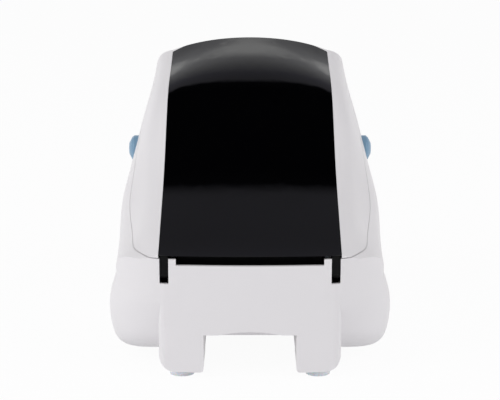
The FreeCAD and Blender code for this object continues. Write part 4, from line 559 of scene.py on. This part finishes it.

# Clear acrylic light pipe: its base colour is a painted pale green that stands for the green board's light showing
# through it.
lens, tree, shader, place = surface("acrylic_lens_clear", "#cfe3d2", 0.1, IOR=1.49, Transmission_Weight=0.4)
mottle(tree, shader, place, 3, ("#cbdfce", "#d3e7d6"), (0.08, 0.16))
dress(lens, "status_lens")


# Main board: glass laminate under green solder mask, lying on posts below the tray, with moulded
# chips and the flat film cable that feeds the head.
COPPER_PITCH = 6 * MM
COPPER_EDGE = 0.05
CONDUCTOR_PITCH = 1 * MM
WAVE_RADIANS = 20

# Solder mask: glossy green, cloudy where copper lies under it.
laminate, tree, shader, place = surface("laminate_green_mask", "#1d5a33", 0.35, IOR=1.5)
copper = add(tree, "ShaderNodeTexBrick",
             {"Vector": place, "Color1": linear("#1b5630"), "Color2": linear("#20613a"),
              "Mortar": linear("#2a7446"), "Scale": 1 / COPPER_PITCH, "Mortar Size": COPPER_EDGE})
tree.links.new(copper.outputs["Color"], shader.inputs["Base Color"])
grain(tree, shader, place, 0.4, 0.02)
dress(laminate, "main_board")
dress(epoxy, "board_chips")

# Polyimide film: amber, with the copper conductors showing through as darker lines. The wave texture
# turns by a fixed count of radians per unit of its scale.
film, tree, shader, place = surface("polyimide_film_amber", "#b98a3e", 0.3, IOR=1.7)
conductors = add(tree, "ShaderNodeTexWave",
                 {"Vector": place, "Scale": 2 * math.pi / (WAVE_RADIANS * CONDUCTOR_PITCH)},
                 bands_direction="X")
film_tone = add(tree, "ShaderNodeMix",
                {0: conductors.outputs["Fac"], 6: linear("#a8742c"), 7: linear("#c89a4e")}, data_type="RGBA")
tree.links.new(film_tone.outputs[2], shader.inputs["Base Color"])
dress(film, "head_ribbon")


# Rear sockets: the power inlet is a block of black epoxy with a pin in its round bore. The data socket
# is a pressed nickel shell round a white tongue with two round contacts above and two below.
TONGUE = ((5.2, 93, 19.0), (10.8, 100.6, 22.0))
TONGUE_ROUND = 0.4 * MM
CONTACT_RADIUS = 0.4
CONTACT_ENDS = [(x, y, z) for x in (6.75, 9.25) for z in (19.05, 21.95) for y in (93.6, 99.4)]

dress(epoxy, "dc_jack")

# Nickel plate: warm bright grey with pressing marks.
nickel, tree, shader, place = surface("nickel_plated_shell", "#c8c4bb", 0.22, Metallic=1.0)
mottle(tree, shader, place, 3, ("#beb9af", "#d1cdc5"), (0.18, 0.32))
dress(nickel, "data_port")

# Nylon: dense matt white.
nylon, tree, shader, place = surface("nylon_white_moulded", "#e4e2dc", 0.5, IOR=1.53)
mottle(tree, shader, place, 4, ("#dfddd7", "#e8e6e0"), (0.45, 0.58))
tongue_form = bmesh.new()
bmesh.ops.create_cube(tongue_form, size=1)
tongue_low, tongue_high = (Vector(corner) * MM for corner in TONGUE)
bmesh.ops.scale(tongue_form, vec=tongue_high - tongue_low, verts=tongue_form.verts)
bmesh.ops.translate(tongue_form, vec=(tongue_low + tongue_high) / 2, verts=tongue_form.verts)
bmesh.ops.bevel(tongue_form, geom=tongue_form.edges, offset=TONGUE_ROUND, segments=3, affect="EDGES",
                profile=0.5)
settle("data_tongue", tongue_form, nylon, "base")

# Flash gold: thin plate over the spring contacts.
gold, tree, shader, place = surface("gold_flash_plated", "#d8b25a", 0.24, Metallic=1.0)
mottle(tree, shader, place, 2, ("#cda74f", "#e0bc68"), (0.2, 0.32))
beads("data_contacts", CONTACT_ENDS, [(end, end + 1) for end in range(0, len(CONTACT_ENDS), 2)],
      CONTACT_RADIUS, gold, "base")


# Power switch: a black case snapped into the rear wall, with a rocker that tips over its pivot. The
# line and the ring on its faces are the usual printed marks for on and off.
MARK_RADIUS = 0.25
MARK_MIDDLE = 22.9
MARK_REACH = 1.5
ON_FACE = ((-33.08, 102.34), (-25.49, 103.42))
LINE_SHARE = 0.45
OFF_FACE = ((-25.49, 103.42), (-18.39, 100.53))
RING_SHARE = 0.55
RING_REACH = 0.2
RING_SIDES = 36

dress(black_abs, "switch_case", "power_rocker")

# Marking ink: matt white, slightly uneven.
ink, tree, shader, place = surface("ink_white_printed", "#dcdcdc", 0.6, IOR=1.5)
mottle(tree, shader, place, 0.8, ("#d2d2d2", "#e4e4e4"), (0.55, 0.7))


def on_face(face, along, height):
    """Point on a sloping face of the rocker, at a share of its length and at a height."""
    (x0, y0), (x1, y1) = face
    return (x0 + (x1 - x0) * along, y0 + (y1 - y0) * along, height)


mark_points = [on_face(ON_FACE, LINE_SHARE, MARK_MIDDLE + end * MARK_REACH) for end in (-1, 1)]
mark_edges = [(0, 1)]
for turn in range(RING_SIDES):
    angle = 2 * math.pi * turn / RING_SIDES
    mark_points.append(on_face(OFF_FACE, RING_SHARE + RING_REACH * math.cos(angle),
                               MARK_MIDDLE + MARK_REACH * math.sin(angle)))
    mark_edges.append((2 + turn, 2 + (turn + 1) % RING_SIDES))
beads("rocker_marks", mark_points, mark_edges, MARK_RADIUS, ink, "rocker")


# Bottom cover: a flat white moulding under the machine, held by four screws in counterbores. Four
# soft rubber feet are pressed into the legs and the cover.
COVER_SEATS = [(x, y, 6.0) for x in (-61, 61) for y in (-34.75, 85.25)]

dress(white_abs, "bottom_cover")
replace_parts(grow("cover_screw_set", screw_rule, COVER_SEATS, [], {**SCREW, "Turn": math.pi}, "base"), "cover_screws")

# Foot rubber: pale bluish grey, lets light through at its rim.
foot_rubber, tree, shader, place = surface("rubber_grey_translucent", "#eaebee", 0.55, IOR=1.5,
                                           Subsurface_Weight=0.3, Subsurface_Scale=0.004)
mottle(tree, shader, place, 8, ("#e6e8eb", "#eeeff1"), (0.5, 0.65))
grain(tree, shader, place, 0.4, 0.02)
dress(foot_rubber, "rubber_feet")


# Lid: a white frame with side rails and rear deck, hinged on a steel rod. The black liner is clipped
# inside it, and its two ears show beside the slot.
dress(white_abs, "lid_frame")
dress(black_abs, "lid_liner")
dress(steel, "hinge_rod")


# Lid window: one sheet of smoked acrylic, pressed to the curve of the lid, polished and bonded to the
# frame over its whole top.

# Smoked acrylic: looks black, with clear reflections and a gloss that changes slightly over the sheet.
smoked, tree, shader, place = surface("acrylic_smoked_polished", "#020203", 0.04, IOR=1.49)
mottle(tree, shader, place, 60, ("#010102", "#030304"), (0.03, 0.06))
dress(smoked, "lid_window")


# Platen: silicone rubber moulded on a steel shaft and ground to size. It turns in two acetal bushes in
# the lid and presses the labels on the head; its gear meets the idler when the lid shuts.
GROUND_RINGS = (2500, 60, 60)

# Ground silicone: dull charcoal with fine rings from the grinding wheel.
platen_silicone, tree, shader, place = surface("silicone_black_ground", "#1c1c1e", 0.6, IOR=1.41)
mottle(tree, shader, place, 6, ("#19191b", "#202022"), (0.55, 0.7))
ground = add(tree, "ShaderNodeVectorMath", {0: place, 1: GROUND_RINGS}, operation="MULTIPLY")
grain(tree, shader, ground.outputs[0], STREAK_SIZE, 0.02)
dress(platen_silicone, "platen_rubber")
dress(steel, "platen_shaft")
dress(acetal, "platen_gear", "platen_bushes")
